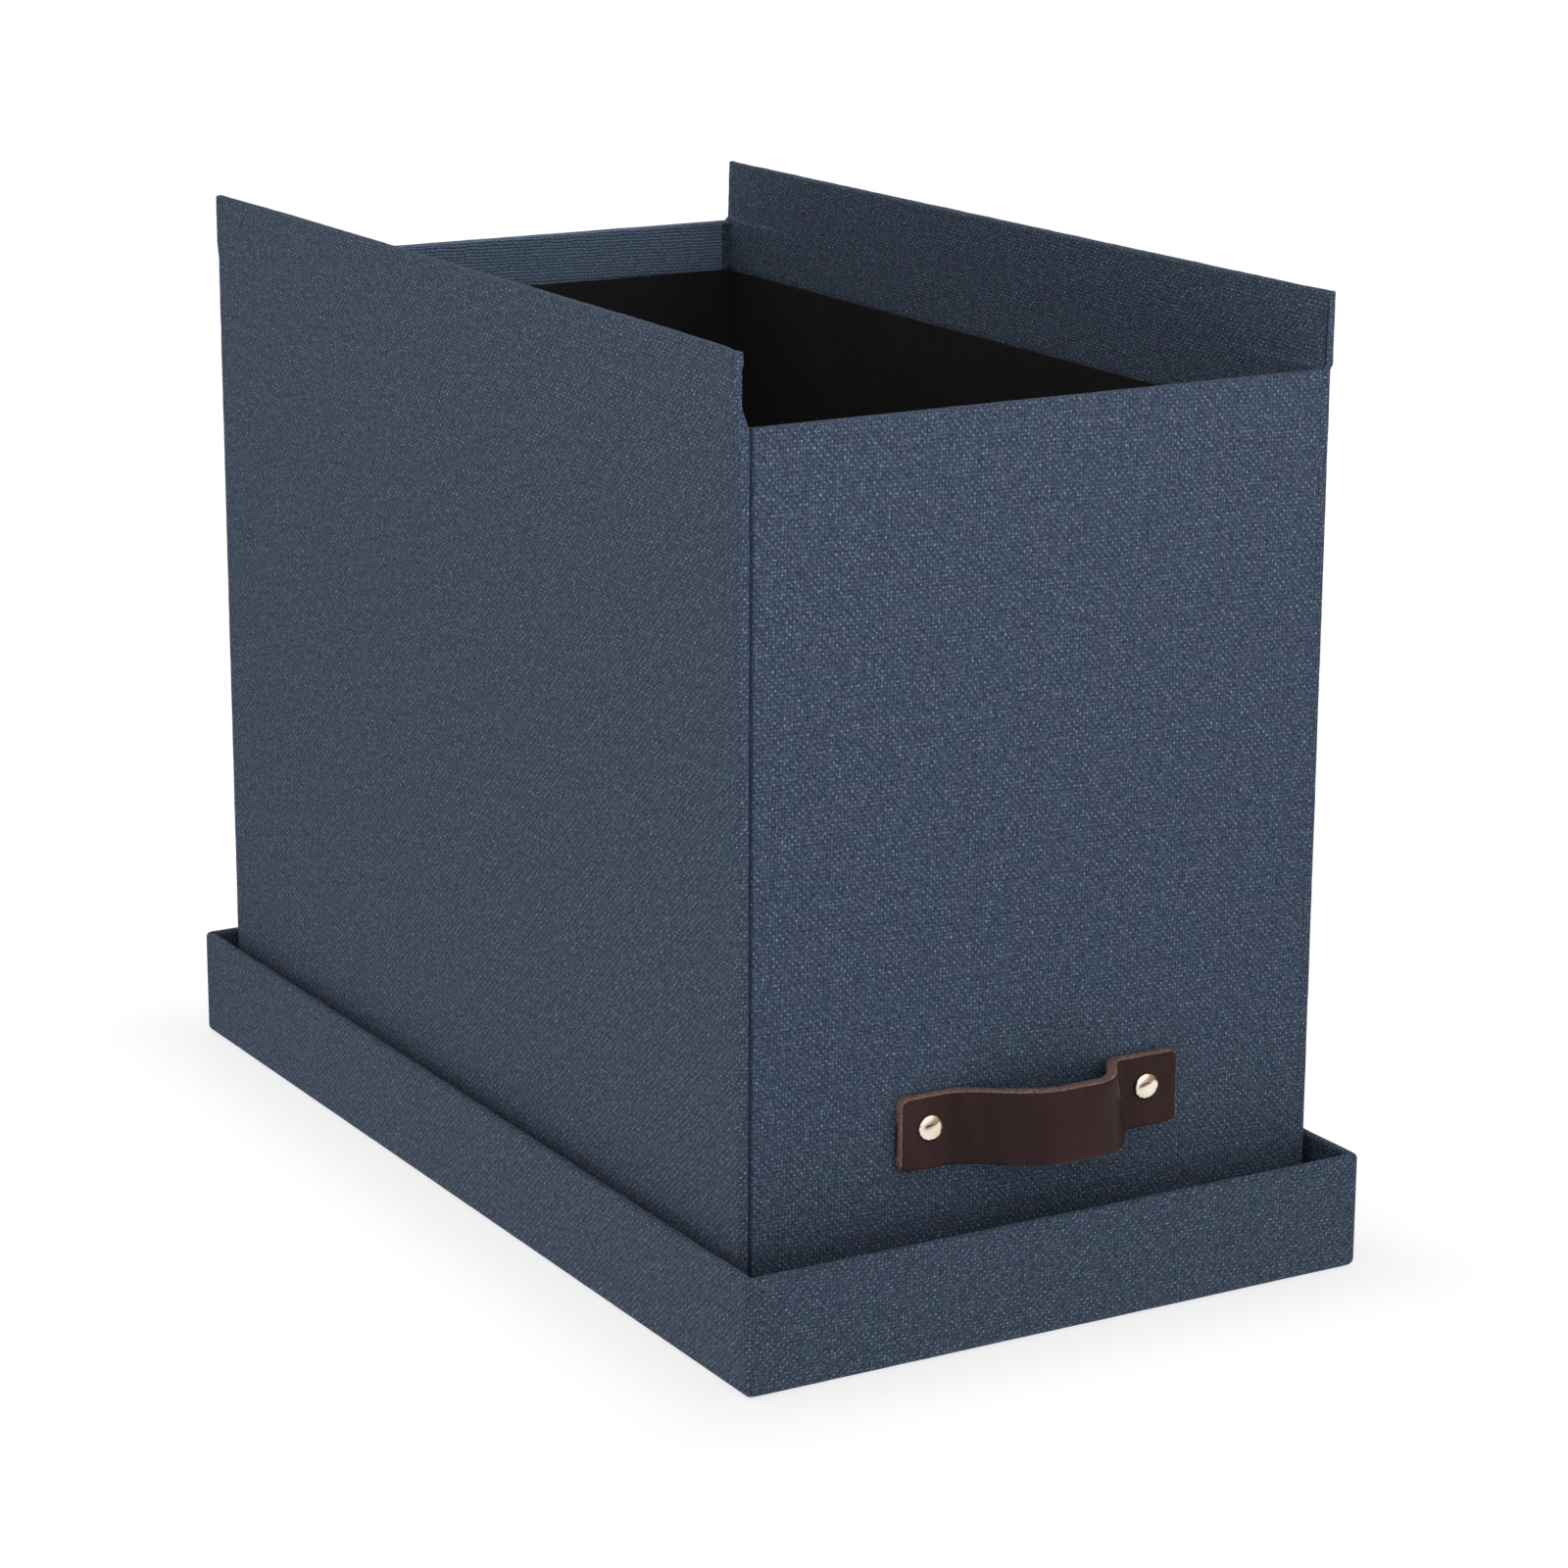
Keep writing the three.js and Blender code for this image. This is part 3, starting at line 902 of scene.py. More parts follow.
    def radius(self, at: np.ndarray) -> np.ndarray:
        """Gives the radius of the folded edges.

        Args:
            at: The points of the sharp-edged wall.

        Returns:
            The radius at each point.
        """
        inward = self.side * (self.low[0] + self.high[0]) / 2 - self.side * at[:, 0]
        from_end = self.half - np.abs(at[:, 1] - self.middle)
        above = smooth((at[:, 2] - self.notch) / (1.5 * MM))
        near_end = 1 - smooth((from_end - 1 * MM) / (2 * MM))
        radius = self.fold + (self.crisp - self.fold) * above * near_end
        tightness = np.where((from_end < 2 * self.fold) & (inward > 0), 1 - above, 0)
        return radius + (self.tight - radius) * tightness

    def tint(self, at: np.ndarray) -> np.ndarray:
        """Gives a painted shade: a dark line along the turned cloth's edge on the flap.

        Args:
            at: The cover's points.

        Returns:
            The painted shade at each point, below 0.
        """
        line = 1 - smooth(np.abs(at[:, 1] - self.low[1] - self.overlap) / (0.5 * MM))
        inside = smooth(2 * np.abs(at[:, 0] - self.outer) / MM - 2)
        clear = smooth((at[:, 2] - self.notch) / MM) * smooth((self.high[2] - at[:, 2]) / (3 * MM))
        return -self.crease * line * inside * clear

    def shaping(self, at: np.ndarray, rough: bool = True) -> np.ndarray:
        """Gives the small movements that the cloth's folds make.

        Args:
            at: The points of the sharp-edged wall or board.
            rough: Whether the cloth's own folds and unevenness are in it.

        Returns:
            How far each point moves.
        """
        half, front, rear = self.half, 0, 1
        flare_reach, pinch_start, pinch_reach = 14 * MM, 8 * MM, 45 * MM  # along the flap, from its ends
        depth = np.clip((np.abs(at[:, 0] - self.outer) - 0.55 * MM) / (2 * MM), 0, 1)
        from_end = half - np.abs(at[:, 1] - self.middle)
        is_rear = at[:, 1] > self.middle
        above = at[:, 2] - self.notch
        move = np.zeros_like(at)

        flare = np.where(is_rear, self.flare[rear], self.flare[front])
        share = np.clip(above / (self.high[2] - self.notch), 0, 1)
        thinner = (self.pinch[0] + (self.pinch[1] - self.pinch[0]) * share) * smooth(above / self.foot)
        out = flare * np.clip(above / self.run, 0, 1) * (1 - smooth(from_end / flare_reach))
        out += thinner * depth * (1 - smooth((from_end - pinch_start) / pinch_reach))
        forward = (self.middle + half - at[:, 1]) / (2 * half)
        move[:, 2] += share * (self.lift[rear] + (self.lift[front] - self.lift[rear]) * forward)
        if rough:
            from_top = self.high[2] - at[:, 2]
            ear = np.where(is_rear, self.ear[rear], self.ear[front])
            ear_height, ear_length = 4.4 * MM, 2.2 * MM
            corner = smooth((ear_height - from_top) / (0.8 * MM))
            corner *= smooth((ear_length - from_end) / (0.9 * MM))
            out -= ear * depth**2 * corner
            edge = 1 - smooth((np.minimum(from_top, from_end) - 1 * MM) / (3 * MM))
            seed = 3.1 if self.side < 0 else 8.4
            for k in range(3):
                wave = ripples(at, (5 * MM, 1.6 * MM), 0.6, (seed + k, seed + 5 + k))
                move[:, k] += self.wave * edge * wave
        move[:, 0] += self.side * out
        return move

    def tabs(self) -> Shell:
        """Makes the tabs that reach round the inner corners on to the ends.

        Returns:
            The outer face of both tabs.
        """
        reach, lift = self.lap
        shells = []
        for end, face in ((1, self.low[1] + WALL), (-1, self.high[1] - WALL)):
            x = sorted((self.inner, self.inner - self.side * reach))
            y = sorted((face, face + end * lift))
            hidden = ((Axis.Y, -end), (Axis.X, self.side))
            low, high = (np.array(c) for c in zip(x, y, (self.turned, self.notch - 0.6 * MM)))
            lines = ((), (), steps(self.turned, self.notch, 1.5 * MM))
            tab = FoldedBox(low, high, 0.3 * MM, Axis.Y, end, hidden, lines, segments=2)
            shells.append(tab.shell(lambda axis, sign, at, hidden=hidden: (axis, sign) not in hidden)[0])
        return shells[0].joined(shells[1])


@dataclass
class EndCover:
    """The canvas on an end of the box, between the strips that wrap the corners.

    Args:
        end: Which end.
        turned: Height at which the turned-in cloth ends.
        tuck: How far its left and right edges dip in the seams.
        reach: How far they reach into the gap of the seams.
        rise: How far its top corners are drawn up.
        fold: The radius of the folded edges.
        wave: How uneven they are.
        grain: How far the sheet is turned on its cloth, in degrees.
        drawn: How far its turned-in part is drawn smooth into ribs and painted lighter, a painted light.
        sunk: How much painted shade darkens it in the left seam.
    """

    end: End
    turned: float
    tuck: Pair = (0.16 * MM, 0.0)
    reach: Pair = (0.0, 0.17 * MM)
    rise: Pair = (0.0, 0.0)
    fold: float = 0.9 * MM
    wave: float = 0.07 * MM
    grain: float = -1.2
    drawn: float = 0.0
    sunk: float = 0.0

    def build(self) -> Object:
        """Makes the cover.

        Returns:
            The cover, on its body.
        """
        label = self.end.label
        low, high = corners(f"box_{label}_cover")
        low[2] = corners("box_base_cover")[0][2]
        low[0] -= self.reach[0]
        high[0] += self.reach[1]
        outer = low[1] if self.end < 0 else high[1]
        near_seam = [d * MM for d in (0.3, 0.7, 1.3, 2.2, 3.2)]
        across = [*steps(low[0] + 5 * MM, high[0] - 5 * MM, 3 * MM)]
        across += [low[0] + d for d in near_seam] + [high[0] - d for d in near_seam]
        near_top = high[2] - 6 * MM
        up = [*steps(low[2], near_top, 4 * MM), *steps(near_top, high[2], 1 * MM), self.turned]
        hard = ((Axis.X, -1), (Axis.X, 1))
        shape = FoldedBox(low, high, self.fold, Axis.Y, self.end, hard, lines=(across, (), up))
        shell, sharp = shape.shell(
            lambda axis, sign, at: axis == 2 or (axis == 1 and (sign == self.end or at[2] > self.turned))
        )
        depth = np.abs(sharp[:, 1] - outer) / WALL
        from_seam = np.minimum(sharp[:, 0] - low[0], high[0] - sharp[:, 0])
        from_top = high[2] - sharp[:, 2]
        dip_reach, rise_reach, rise_depth = 0.9 * MM, 2.6 * MM, 2.5 * MM
        dip = (1 - smooth(from_seam / dip_reach)) * np.where(sharp[:, 0] < 0, *self.tuck)
        shell.points[:, 1] -= self.end * dip * (1 - depth)
        drawn_up = (1 - np.clip(from_seam / rise_reach, 0, 1)) ** 2 * (1 - smooth(from_top / rise_depth))
        shell.points[:, 2] += np.where(sharp[:, 0] < 0, *self.rise) * drawn_up
        edge = 1 - smooth((from_top - 1 * MM) / (3 * MM))
        for k in (1, 2):
            seeds = (2.3 * self.end + k, self.end - k)
            shell.points[:, k] += self.wave * edge * ripples(sharp, (6 * MM, 1.7 * MM), 0.6, seeds)
        shell = shell.laid(self.grain, flip=self.end > 0)
        obj = mesh_object(f"box_{label}_canvas", shell, Slot.CANVAS, THICKENED, WEIGHTED)
        at = np.array([vertex.co for vertex in obj.data.vertices])
        # painted light on the drawn inside band, and painted shade in the left seam
        inside = smooth(self.end * (outer - at[:, 1]) / MM - 1.6)
        seam_shade_share = 1 - smooth((at[:, 0] - low[0]) / (0.45 * MM))
        store(obj, PAINTED_SHADING, self.drawn * inside - self.sunk * seam_shade_share)
        flat = (high[0] - low[0], 2 * high[2] - low[2] + 2 * WALL - self.turned)
        return glue_sheet(obj, f"box_{label}_cover", flat, f"box_{label}_core")


@dataclass
class RimCover:
    """The canvas round the lid's rim, in one piece with soft corners.

    It starts under the lid, goes up the outside, over the top and down the inside.

    Args:
        turned: Height at which the turned-in cloth ends.
        corner: The radius of the upright corners.
        foot: The radius of the bottom edge.
        lip: The radius of the top edge.
        under: How far the cloth reaches under the lid.
        wave: How uneven its edges are.
        grain: How far the sheet is turned on its cloth, in degrees.
        arc_steps: How many faces go round a quarter turn.
    """

    turned: float
    corner: float = 2.7 * MM
    foot: float = 2.3 * MM
    lip: float = 1.35 * MM
    under: float = 13 * MM
    wave: float = 0.1 * MM
    grain: float = 87.8
    arc_steps: int = 6

    def profile(self, height: float) -> Flat:
        """Gives the cloth's path across the rim.

        Args:
            height: The rim's height.

        Returns:
            Each point's distance in from the outer face, and its height.
        """
        shoulder = height - self.lip
        path = [(d, 0.0) for d in np.linspace(self.under, self.foot, 5)[:-1]]
        path += arc((self.foot, self.foot), self.foot, 270, self.arc_steps, -90)
        path += [(0.0, z) for z in np.linspace(self.foot, shoulder, 9)[1:-1]]
        path += arc((self.lip, shoulder), self.lip, 180, self.arc_steps, -90)
        path += arc((WALL - self.lip, shoulder), self.lip, 90, self.arc_steps, -90)
        return path + [(WALL, z) for z in np.linspace(shoulder, self.turned, 6)[1:]]

    def loop(self, half: np.ndarray, inset: float) -> list[Sequence[float]]:
        """Gives a rounded rectangle, the same number of points whatever its inset.

        Args:
            half: Half the lid's width and length.
            inset: How far in from the outer face it lies.

        Returns:
            Its points, anticlockwise.
        """
        radius = max(self.corner - inset, 0.3 * MM)
        centre = half - inset - radius
        signs = ((1, 1), (-1, 1), (-1, -1), (1, -1))
        arcs = [arc(centre * sign, radius, 90 * k, self.arc_steps) for k, sign in enumerate(signs)]
        points = []
        for k, turn in enumerate(arcs):
            count = round(2 * half[k % 2] / (4 * MM))
            points += [*turn, *np.linspace(turn[-1], arcs[(k + 1) % 4][0], count + 1)[1:-1]]
        return points

    def build(self) -> Object:
        """Makes the cover.

        Returns:
            The cover, on its body.
        """
        _, high = corners("lid_rim_cover")
        half, height = high[:2], high[2]
        path, outline = self.profile(height), self.loop(half, 0.0)
        along, around = (
            np.concatenate([[0], np.cumsum([math.dist(a, b) for a, b in zip(line, line[1:])])])
            for line in (path, [*outline, outline[0]])
        )
        count = len(outline)
        points = np.array([(x, y, z) for d, z in path for x, y in self.loop(half, d)])
        faces = tube(np.arange(len(points)).reshape(len(path), count).tolist())
        cells = product(range(len(path) - 1), range(count))
        way_round = ((0, 0), (1, 0), (1, 1), (0, 1))
        flat = [(around[k + i], along[row + j]) for row, k in cells for i, j in way_round]
        heights = points[:, 2]
        top_edge = 1 - smooth((height - heights - 1 * MM) / (4 * MM))
        edge = np.maximum(top_edge, 0.6 * (1 - smooth(heights / (5 * MM))))
        hidden = np.repeat([d > self.foot and z < self.foot for d, z in path], count)
        for k in range(3):
            wave = ripples(points, (7 * MM, 1.8 * MM), 0.5, (11.0 + k, 17.0 + k))
            points[:, k] += self.wave * np.where(hidden, 0, edge) * wave
        points[:, 2] = np.maximum(points[:, 2], 0)
        shell = Shell(points, faces, flat).laid(self.grain)
        obj = mesh_object("lid_rim_canvas", shell, Slot.CANVAS, THICKENED, WEIGHTED)
        cores = [f"lid_{label}_core" for label in ("left", "right", "front", "rear")]
        return glue_sheet(obj, "lid_rim_cover", (float(around[-1]), float(along[-1])), *cores)


@dataclass
class UnderCover:
    """The canvas sheet under a half, let in between the turned-under edges of its walls' cloth.

    Args:
        name: The name of its half and of the board that it is glued to.
        inset: How far inside the half's outer faces it ends.
    """

    name: str
    inset: float

    def build(self) -> Object:
        """Makes the sheet.

        Returns:
            The sheet, on its body.
        """
        low, high = corners(f"{self.name}_cover")
        low[:2] += self.inset
        high[:2] -= self.inset
        lines = (steps(low[0], high[0], 10 * MM), steps(low[1], high[1], 10 * MM), ())
        shell, sharp = FoldedBox(low, high, 0.18 * MM, lines=lines, segments=2).shell()
        shell.flat = [tuple(sharp[i][:2]) for face in shell.faces for i in face]
        obj = mesh_object(f"{self.name}_canvas", shell, Slot.CANVAS, WEIGHTED)
        return glue_sheet(obj, f"{self.name}_cover", (high - low)[:2], f"{self.name}_board", laid=True)


# ---- Boards and linings ----


@dataclass
class Core:
    """A grey board under the cloth, with its corners worn soft where the cloth turns round them.

    Args:
        body: The half that it belongs to.
        label: Which wall it is.
        fold: The radius of its soft edges.
        hard: Sides whose edges stay sharp.
    """

    body: Body
    label: str
    fold: float
    hard: Edges = ()

    def build(self) -> Object:
        """Makes the board.

        Returns:
            The board, on its body.
        """
        name = f"{self.body.value}_{self.label}"
        shell, _ = FoldedBox(*corners(f"{name}_board"), self.fold, hard=self.hard, segments=3).shell()
        obj = mesh_object(f"{name}_core", shell, Slot.BOARD, WEIGHTED)
        return mount(obj, self.body, Slot.BOARD, f"{name}_board")


@dataclass
class SideLining:
    """The card on the inside of a long side, with narrow laps round the corners on to the ends.

    Args:
        side: Which side.
        lap: How far a lap reaches along an end, and how thick it is.
        fold: The radius of the card's edges.
    """

    side: Side
    lap: Pair = (3 * MM, 0.3 * MM)
    fold: float = 0.12 * MM

    def build(self) -> Object:
        """Makes the lining.

        Returns:
            The lining, on its body.
        """
        label = self.side.label
        low, high = corners(f"box_{label}_lining")
        front, rear = corners("box_front_lining")[1][1], corners("box_rear_lining")[0][1]
        shell, _ = FoldedBox(low, high, self.fold, segments=2).shell()
        inner = low[0] if self.side > 0 else high[0]
        for end, face in ((1, front), (-1, rear)):
            x = sorted((inner, inner - self.side * self.lap[0]))
            y = sorted((face, face + end * self.lap[1]))
            ends = (np.array(c) for c in zip(x, y, (low[2], high[2])))
            shell = shell.joined(FoldedBox(*ends, self.fold, segments=2).shell()[0])
        obj = mesh_object(f"box_{label}_card", shell, Slot.CARD, WEIGHTED)
        return mount(obj, Body.BOX, Slot.CARD, f"box_{label}_lining")


# ---- Pull strap ----


def group(name: str, inputs: dict[str, str], output: str = "Geometry") -> tuple[NodeTree, NodeOutputs]:
    """Starts a Geometry Nodes group.

    Args:
        name: The group's name.
        inputs: The type of each input, by name.
        output: The type of its one output.

    Returns:
        The tree and the sockets of its inputs.
    """
    tree = bpy.data.node_groups.new(name, "GeometryNodeTree")
    for label, kind in inputs.items():
        tree.interface.new_socket(label, in_out="INPUT", socket_type=f"NodeSocket{kind}")
    tree.interface.new_socket("Result", in_out="OUTPUT", socket_type=f"NodeSocket{output}")
    return tree, tree.nodes.new("NodeGroupInput").outputs


def end_group(tree: NodeTree, geometry: Node, slot: Slot) -> None:
    """Ends a Geometry Nodes group in real meshes with their material."""
    single = add(tree, "GeometryNodeRealizeInstances", geometry)
    add(tree, "NodeGroupOutput", add(tree, "GeometryNodeSetMaterial", single, None, finish_of(slot)))


def grow(obj: Object, tree: NodeTree, values: dict[str, object]) -> Object:
    """Runs a Geometry Nodes group on an object and makes the result its mesh.

    Args:
        obj: The object.
        tree: The group.
        values: The group's inputs by name.

    Returns:
        The same object.
    """
    modifier = obj.modifiers.new(tree.name, "NODES")
    modifier.node_group = tree
    for item in tree.interface.items_tree:
        if item.item_type == "SOCKET" and item.in_out == "INPUT" and item.name in values:
            modifier[item.identifier] = values[item.name]
    return applied(obj)


@dataclass
class PullStrap:
    """The thick leather strap on the front, bowed away from it between its rivets.

    The bow has a long soft slope on the left, and on the right a full shoulder that drops to the
    rivet through a tight bend, which runs aslant. Its lower edge stands out a little further.

    Args:
        height: How far the bow stands out.
        top: How far right of the middle it stands out furthest.
        left_foot: Where the slope starts.
        right_foot: Where the shoulder ends, at the strap's middle line.
        slant: How much further right that is at the lower edge than at the upper one.
        lean: How far the lower edge leans out at the top of the bow, as a slope.
        slope: How full and how soft the slope is, as powers.
        shoulder: The same of the shoulder.
        thick: How thick the leather is.
        corner: The radius of the strap's corners.
        front_edge: The radius of the worn edge of the face.
        back_edge: The same of the back.
        step: The length of its faces.
        fray: How far the cut edge is roughened.
        fibre: The length and the width of the loose fibres on it.
        fibres: How many there are on a square metre.
        seed: Which fibres.
    """

    height: float = 14.2 * MM
    top: float = 3 * MM
    left_foot: float = -31 * MM
    right_foot: float = 28.2 * MM
    slant: float = 3.6 * MM
    lean: float = 0.07
    slope: Pair = (2.5, 2.5)
    shoulder: Pair = (5.0, 3.0)
    thick: float = 3 * MM
    corner: float = 3 * MM
    front_edge: float = 0.75 * MM
    back_edge: float = 0.3 * MM
    step: float = 0.35 * MM
    fray: float = 0.34 * MM
    fibre: Pair = (0.5 * MM, 0.045 * MM)
    fibres: float = 5.0e6
    seed: int = 4

    def build(self) -> list[Object]:
        """Makes the strap and the fibres that stand up on its cut edges.

        Returns:
            The fibres and the strap, on their body.
        """
        low, high = corners("handle_strap")
        obj = self.blank(low, high)
        values = {
            "Height": self.height,
            "Top": self.top,
            "Left Foot": self.left_foot,
            "Right Foot": self.right_foot,
            "Slant": self.slant / (high[2] - low[2]),
            "Lean": self.lean,
            "Back": corners("box_front_cover")[0][1] - GLUE,
            "Level": (low[2] + high[2]) / 2,
            "Fray": self.fray,
            "Seed": float(self.seed),
        }
        grow(obj, self.bend_tree(), values)
        fuzz = mount(self.fuzz(obj), Body.BOX, Slot.LEATHER)
        return [fuzz, mount(obj, Body.BOX, Slot.LEATHER, "handle_strap")]

    def blank(self, low: np.ndarray, high: np.ndarray) -> Object:
        """Makes the strap as it is cut, flat: across X, with its thickness along -Y from 0.

        Args:
            low: The strap's lowest corner.
            high: Its highest corner.

        Returns:
            The flat strap, with the cut edge marked.
        """
        half = (high[2] - low[2]) / 2
        ends = [self.front_edge * (1 - math.cos(a)) for a in np.radians((0, 22.5, 45, 67.5, 90))]
        ends += [d * MM for d in (0.9, 1.2, 1.6, 2.1, 2.6)]
        xs = [*(low[0] + e for e in ends), *(high[0] - e for e in ends)]
        xs = np.unique(np.round([*xs, *steps(low[0] + self.corner, high[0] - self.corner, self.step)], 7))
        outlines = []
        for x in xs:
            from_end = min(x - low[0], high[0] - x)
            cut = max(self.corner - from_end, 0)
            worn = max(self.front_edge - from_end, 0)
            reach = half - self.corner + math.sqrt(max(self.corner**2 - cut**2, 0))
            face = self.thick - self.front_edge + math.sqrt(max(self.front_edge**2 - worn**2, 0))
            outlines.append(self.ring(reach, face, from_end))
        slices = zip(xs, outlines, strict=True)
        points = np.array([(x, -out, z) for x, ring in slices for z, out, _ in ring])
        rings = np.arange(len(points)).reshape(len(xs), -1).tolist()
        faces = [(a, d, c, b) for a, b, c, d in tube(rings)] + [tuple(rings[0]), tuple(rings[-1][::-1])]
        flat = [(points[i][0], points[i][2]) for face in faces for i in face]
        obj = mesh_object("pull_strap", Shell(points, faces, flat), Slot.LEATHER)
        store(obj, RAW_EDGE, [raw for ring in outlines for _, _, raw in ring])
        return obj

    def ring(self, reach: float, face: float, from_end: float) -> list[tuple[float, float, float]]:
        """Gives the strap's outline at one place along it.

        Args:
            reach: Half its width there.
            face: How thick it is there.
            from_end: The distance from the nearer end.

        Returns:
            Each point's height, its distance out from the back, and whether it is on the cut edge.
        """
        edge = min(self.front_edge, face)
        across = reach - self.front_edge
        end = 1 - float(smooth((from_end - 0.3 * self.front_edge) / (0.6 * self.front_edge)))
        line = np.linspace(-1, 1, 19)
        side = [(reach, out, 1.0) for out in np.linspace(face - edge, self.back_edge, 6)]
        side.append((reach - self.back_edge, 0.0, 1.0))
        turns = np.radians((22.5, 45, 67.5))
        bend = [(across + self.front_edge * math.sin(a), face - edge * (1 - math.cos(a))) for a in turns]
        upper = [(z, out, max(end, raw)) for (z, out), raw in zip(bend, (0.5, 1.0, 1.0), strict=True)]
        lower = [(z, out, max(end, raw)) for (z, out), raw in zip(bend, (0.0, 0.0, 0.5), strict=True)]
        back = [(z, 0.0, 0.0) for z in (0.5 * MM - across) * line]
        under = [(-z, out, raw) for z, out, raw in reversed([*lower, *side])]
        return [*((z, face, end) for z in across * line), *upper, *side, *back, *under]

    def bow_tree(self) -> NodeTree:
        """Makes the group that says how far the bow stands out at a place along the strap.

        Returns:
            The group.
        """
        names = ("Along", "Up", "Height", "Top", "Left Foot", "Right Foot", "Slant")
        tree, out = group("strap_bow", dict.fromkeys(names, "Float"), "Float")
        aside = add(tree, "SUBTRACT", out["Along"], out["Top"])
        sloped = add(tree, "LESS_THAN", aside, 0.0)
        aslant = add(tree, "MULTIPLY", out["Up"], out["Slant"])
        foot = add(tree, "MULTIPLY_ADD", aslant, -1.0, out["Right Foot"])
        right = add(tree, "SUBTRACT", foot, out["Top"])
        left = add(tree, "SUBTRACT", out["Top"], out["Left Foot"])
        pairs = ((right, left), *zip(self.shoulder, self.slope, strict=True))
        reach, fullness, softness = (add(tree, MIX, sloped, None, *pair) for pair in pairs)
        far = add(tree, "DIVIDE", add(tree, "ABSOLUTE", aside), reach)
        powered = add(tree, "POWER", add(tree, "MINIMUM", far, 1.0), fullness)
        shaped = add(tree, "POWER", add(tree, "SUBTRACT", 1.0, powered), softness)
        add(tree, "NodeGroupOutput", add(tree, "MULTIPLY", shaped, out["Height"]))
        return tree

    def bend_tree(self) -> NodeTree:
        """Makes the group that bends the flat strap into its bow and roughens its cut edge.

        Returns:
            The group.
        """
        shape = ("Height", "Top", "Left Foot", "Right Foot", "Slant")
        floats = dict.fromkeys((*shape, "Lean", "Back", "Level", "Fray", "Seed"), "Float")
        tree, out = group("strap_bend", {"Strap": "Geometry"} | floats)
        spot = add(tree, "GeometryNodeInputPosition")
        along, back, up = add(tree, "ShaderNodeSeparateXYZ", spot).outputs
        bow_tree, span, middle = self.bow_tree(), 0.4 * MM, self.thick / 2
        bows = []
        for shift in (span, -span, 0.0):
            sockets = {"Along": add(tree, "ADD", along, shift), "Up": up}
            sockets |= {name: out[name] for name in shape}
            bows.append(add(tree, "GeometryNodeGroup", named=sockets, node_tree=bow_tree))
        bow = bows[2]
        slope = add(tree, "DIVIDE", add(tree, "SUBTRACT", bows[0], bows[1]), 2 * span)

        # the outward direction is (-slope, -1), made one long
        offset = add(tree, "SUBTRACT", add(tree, "MULTIPLY", back, -1.0), middle)
        length = add(tree, "SQRT", add(tree, "MULTIPLY_ADD", slope, slope, 1.0))
        unit = add(tree, "DIVIDE", offset, length)
        x = add(tree, "MULTIPLY_ADD", add(tree, "MULTIPLY", slope, unit), -1.0, along)
        leaning = add(tree, "MULTIPLY", add(tree, "DIVIDE", bow, out["Height"]), out["Lean"])
        lower = add(tree, "MULTIPLY", leaning, up)
        raised = add(tree, "ADD", add(tree, "SUBTRACT", add(tree, "ADD", bow, unit), lower), middle)
        y = add(tree, "SUBTRACT", out["Back"], raised)
        bent = add(tree, "ShaderNodeCombineXYZ", x, y, add(tree, "ADD", up, out["Level"]))
        strap = add(tree, "GeometryNodeSetPosition", out["Strap"], None, bent)

        raw = add(tree, "GeometryNodeInputNamedAttribute", RAW_EDGE, data_type="FLOAT")
        shift = add(tree, "ShaderNodeCombineXYZ", out["Seed"])
        place = add(tree, VECTOR, spot, shift, operation="ADD")
        rough = add(tree, "SUBTRACT", add(tree, NOISE, place, None, 1300.0, 3.0, 0.7), 0.55)
        amount = add(tree, "MULTIPLY", add(tree, "MULTIPLY", rough, 2.0), out["Fray"])
        push = {"Scale": add(tree, "MULTIPLY", amount, raw)}
        push = add(tree, VECTOR, add(tree, "GeometryNodeInputNormal"), operation="SCALE", named=push)
        end_group(tree, add(tree, "GeometryNodeSetPosition", strap, None, None, push), Slot.LEATHER)
        return tree

    def fuzz(self, strap: Object) -> Object:
        """Makes the short loose fibres on the strap's cut edges.

        Args:
            strap: The finished strap.

        Returns:
            The fibres.
        """
        floats = dict.fromkeys(("Density", "Length", "Width"), "Float")
        tree, out = group("edge_fibres", {"Strap": "Geometry"} | floats | {"Seed": "Int"})
        raw = add(tree, "GeometryNodeInputNamedAttribute", RAW_EDGE, data_type="FLOAT")
        density = add(tree, "MULTIPLY", add(tree, "GREATER_THAN", raw, 0.9), out["Density"])
        spread = {"Density": density, "Seed": out["Seed"]}
        points = add(tree, "GeometryNodeDistributePointsOnFaces", out["Strap"], named=spread)
        cone = {"Vertices": 3, "Radius Top": 0.0, "Radius Bottom": out["Width"], "Depth": out["Length"]}
        tilt = {"Min": (-0.9, -0.9, -3.0), "Max": (0.9, 0.9, 3.0), "Seed": out["Seed"]}
        tilted = add(tree, "FunctionNodeRandomValue", named=tilt, data_type="FLOAT_VECTOR")
        turned = add(tree, "FunctionNodeRotateEuler", points.outputs["Rotation"], tilted, space="LOCAL")
        sizes = {2: 0.4, 3: 1.2, "Seed": out["Seed"]}
        size = add(tree, "FunctionNodeRandomValue", named=sizes, data_type="FLOAT").outputs[1]
        fibre = add(tree, "GeometryNodeMeshCone", named=cone)
        placed = {"Instance": fibre, "Rotation": turned, "Scale": size}
        fibres = add(tree, "GeometryNodeInstanceOnPoints", points, named=placed)
        single = add(tree, "GeometryNodeRealizeInstances", fibres)
        raw_too = {"Name": RAW_EDGE, "Value": 1.0}
        marked = add(tree, "GeometryNodeStoreNamedAttribute", single, named=raw_too, domain="POINT")
        end_group(tree, marked, Slot.LEATHER)
        obj = linked("strap_edge_fibres", strap.data.copy())
        length, width = self.fibre
        values = {"Density": self.fibres, "Length": length, "Width": width, "Seed": self.seed}
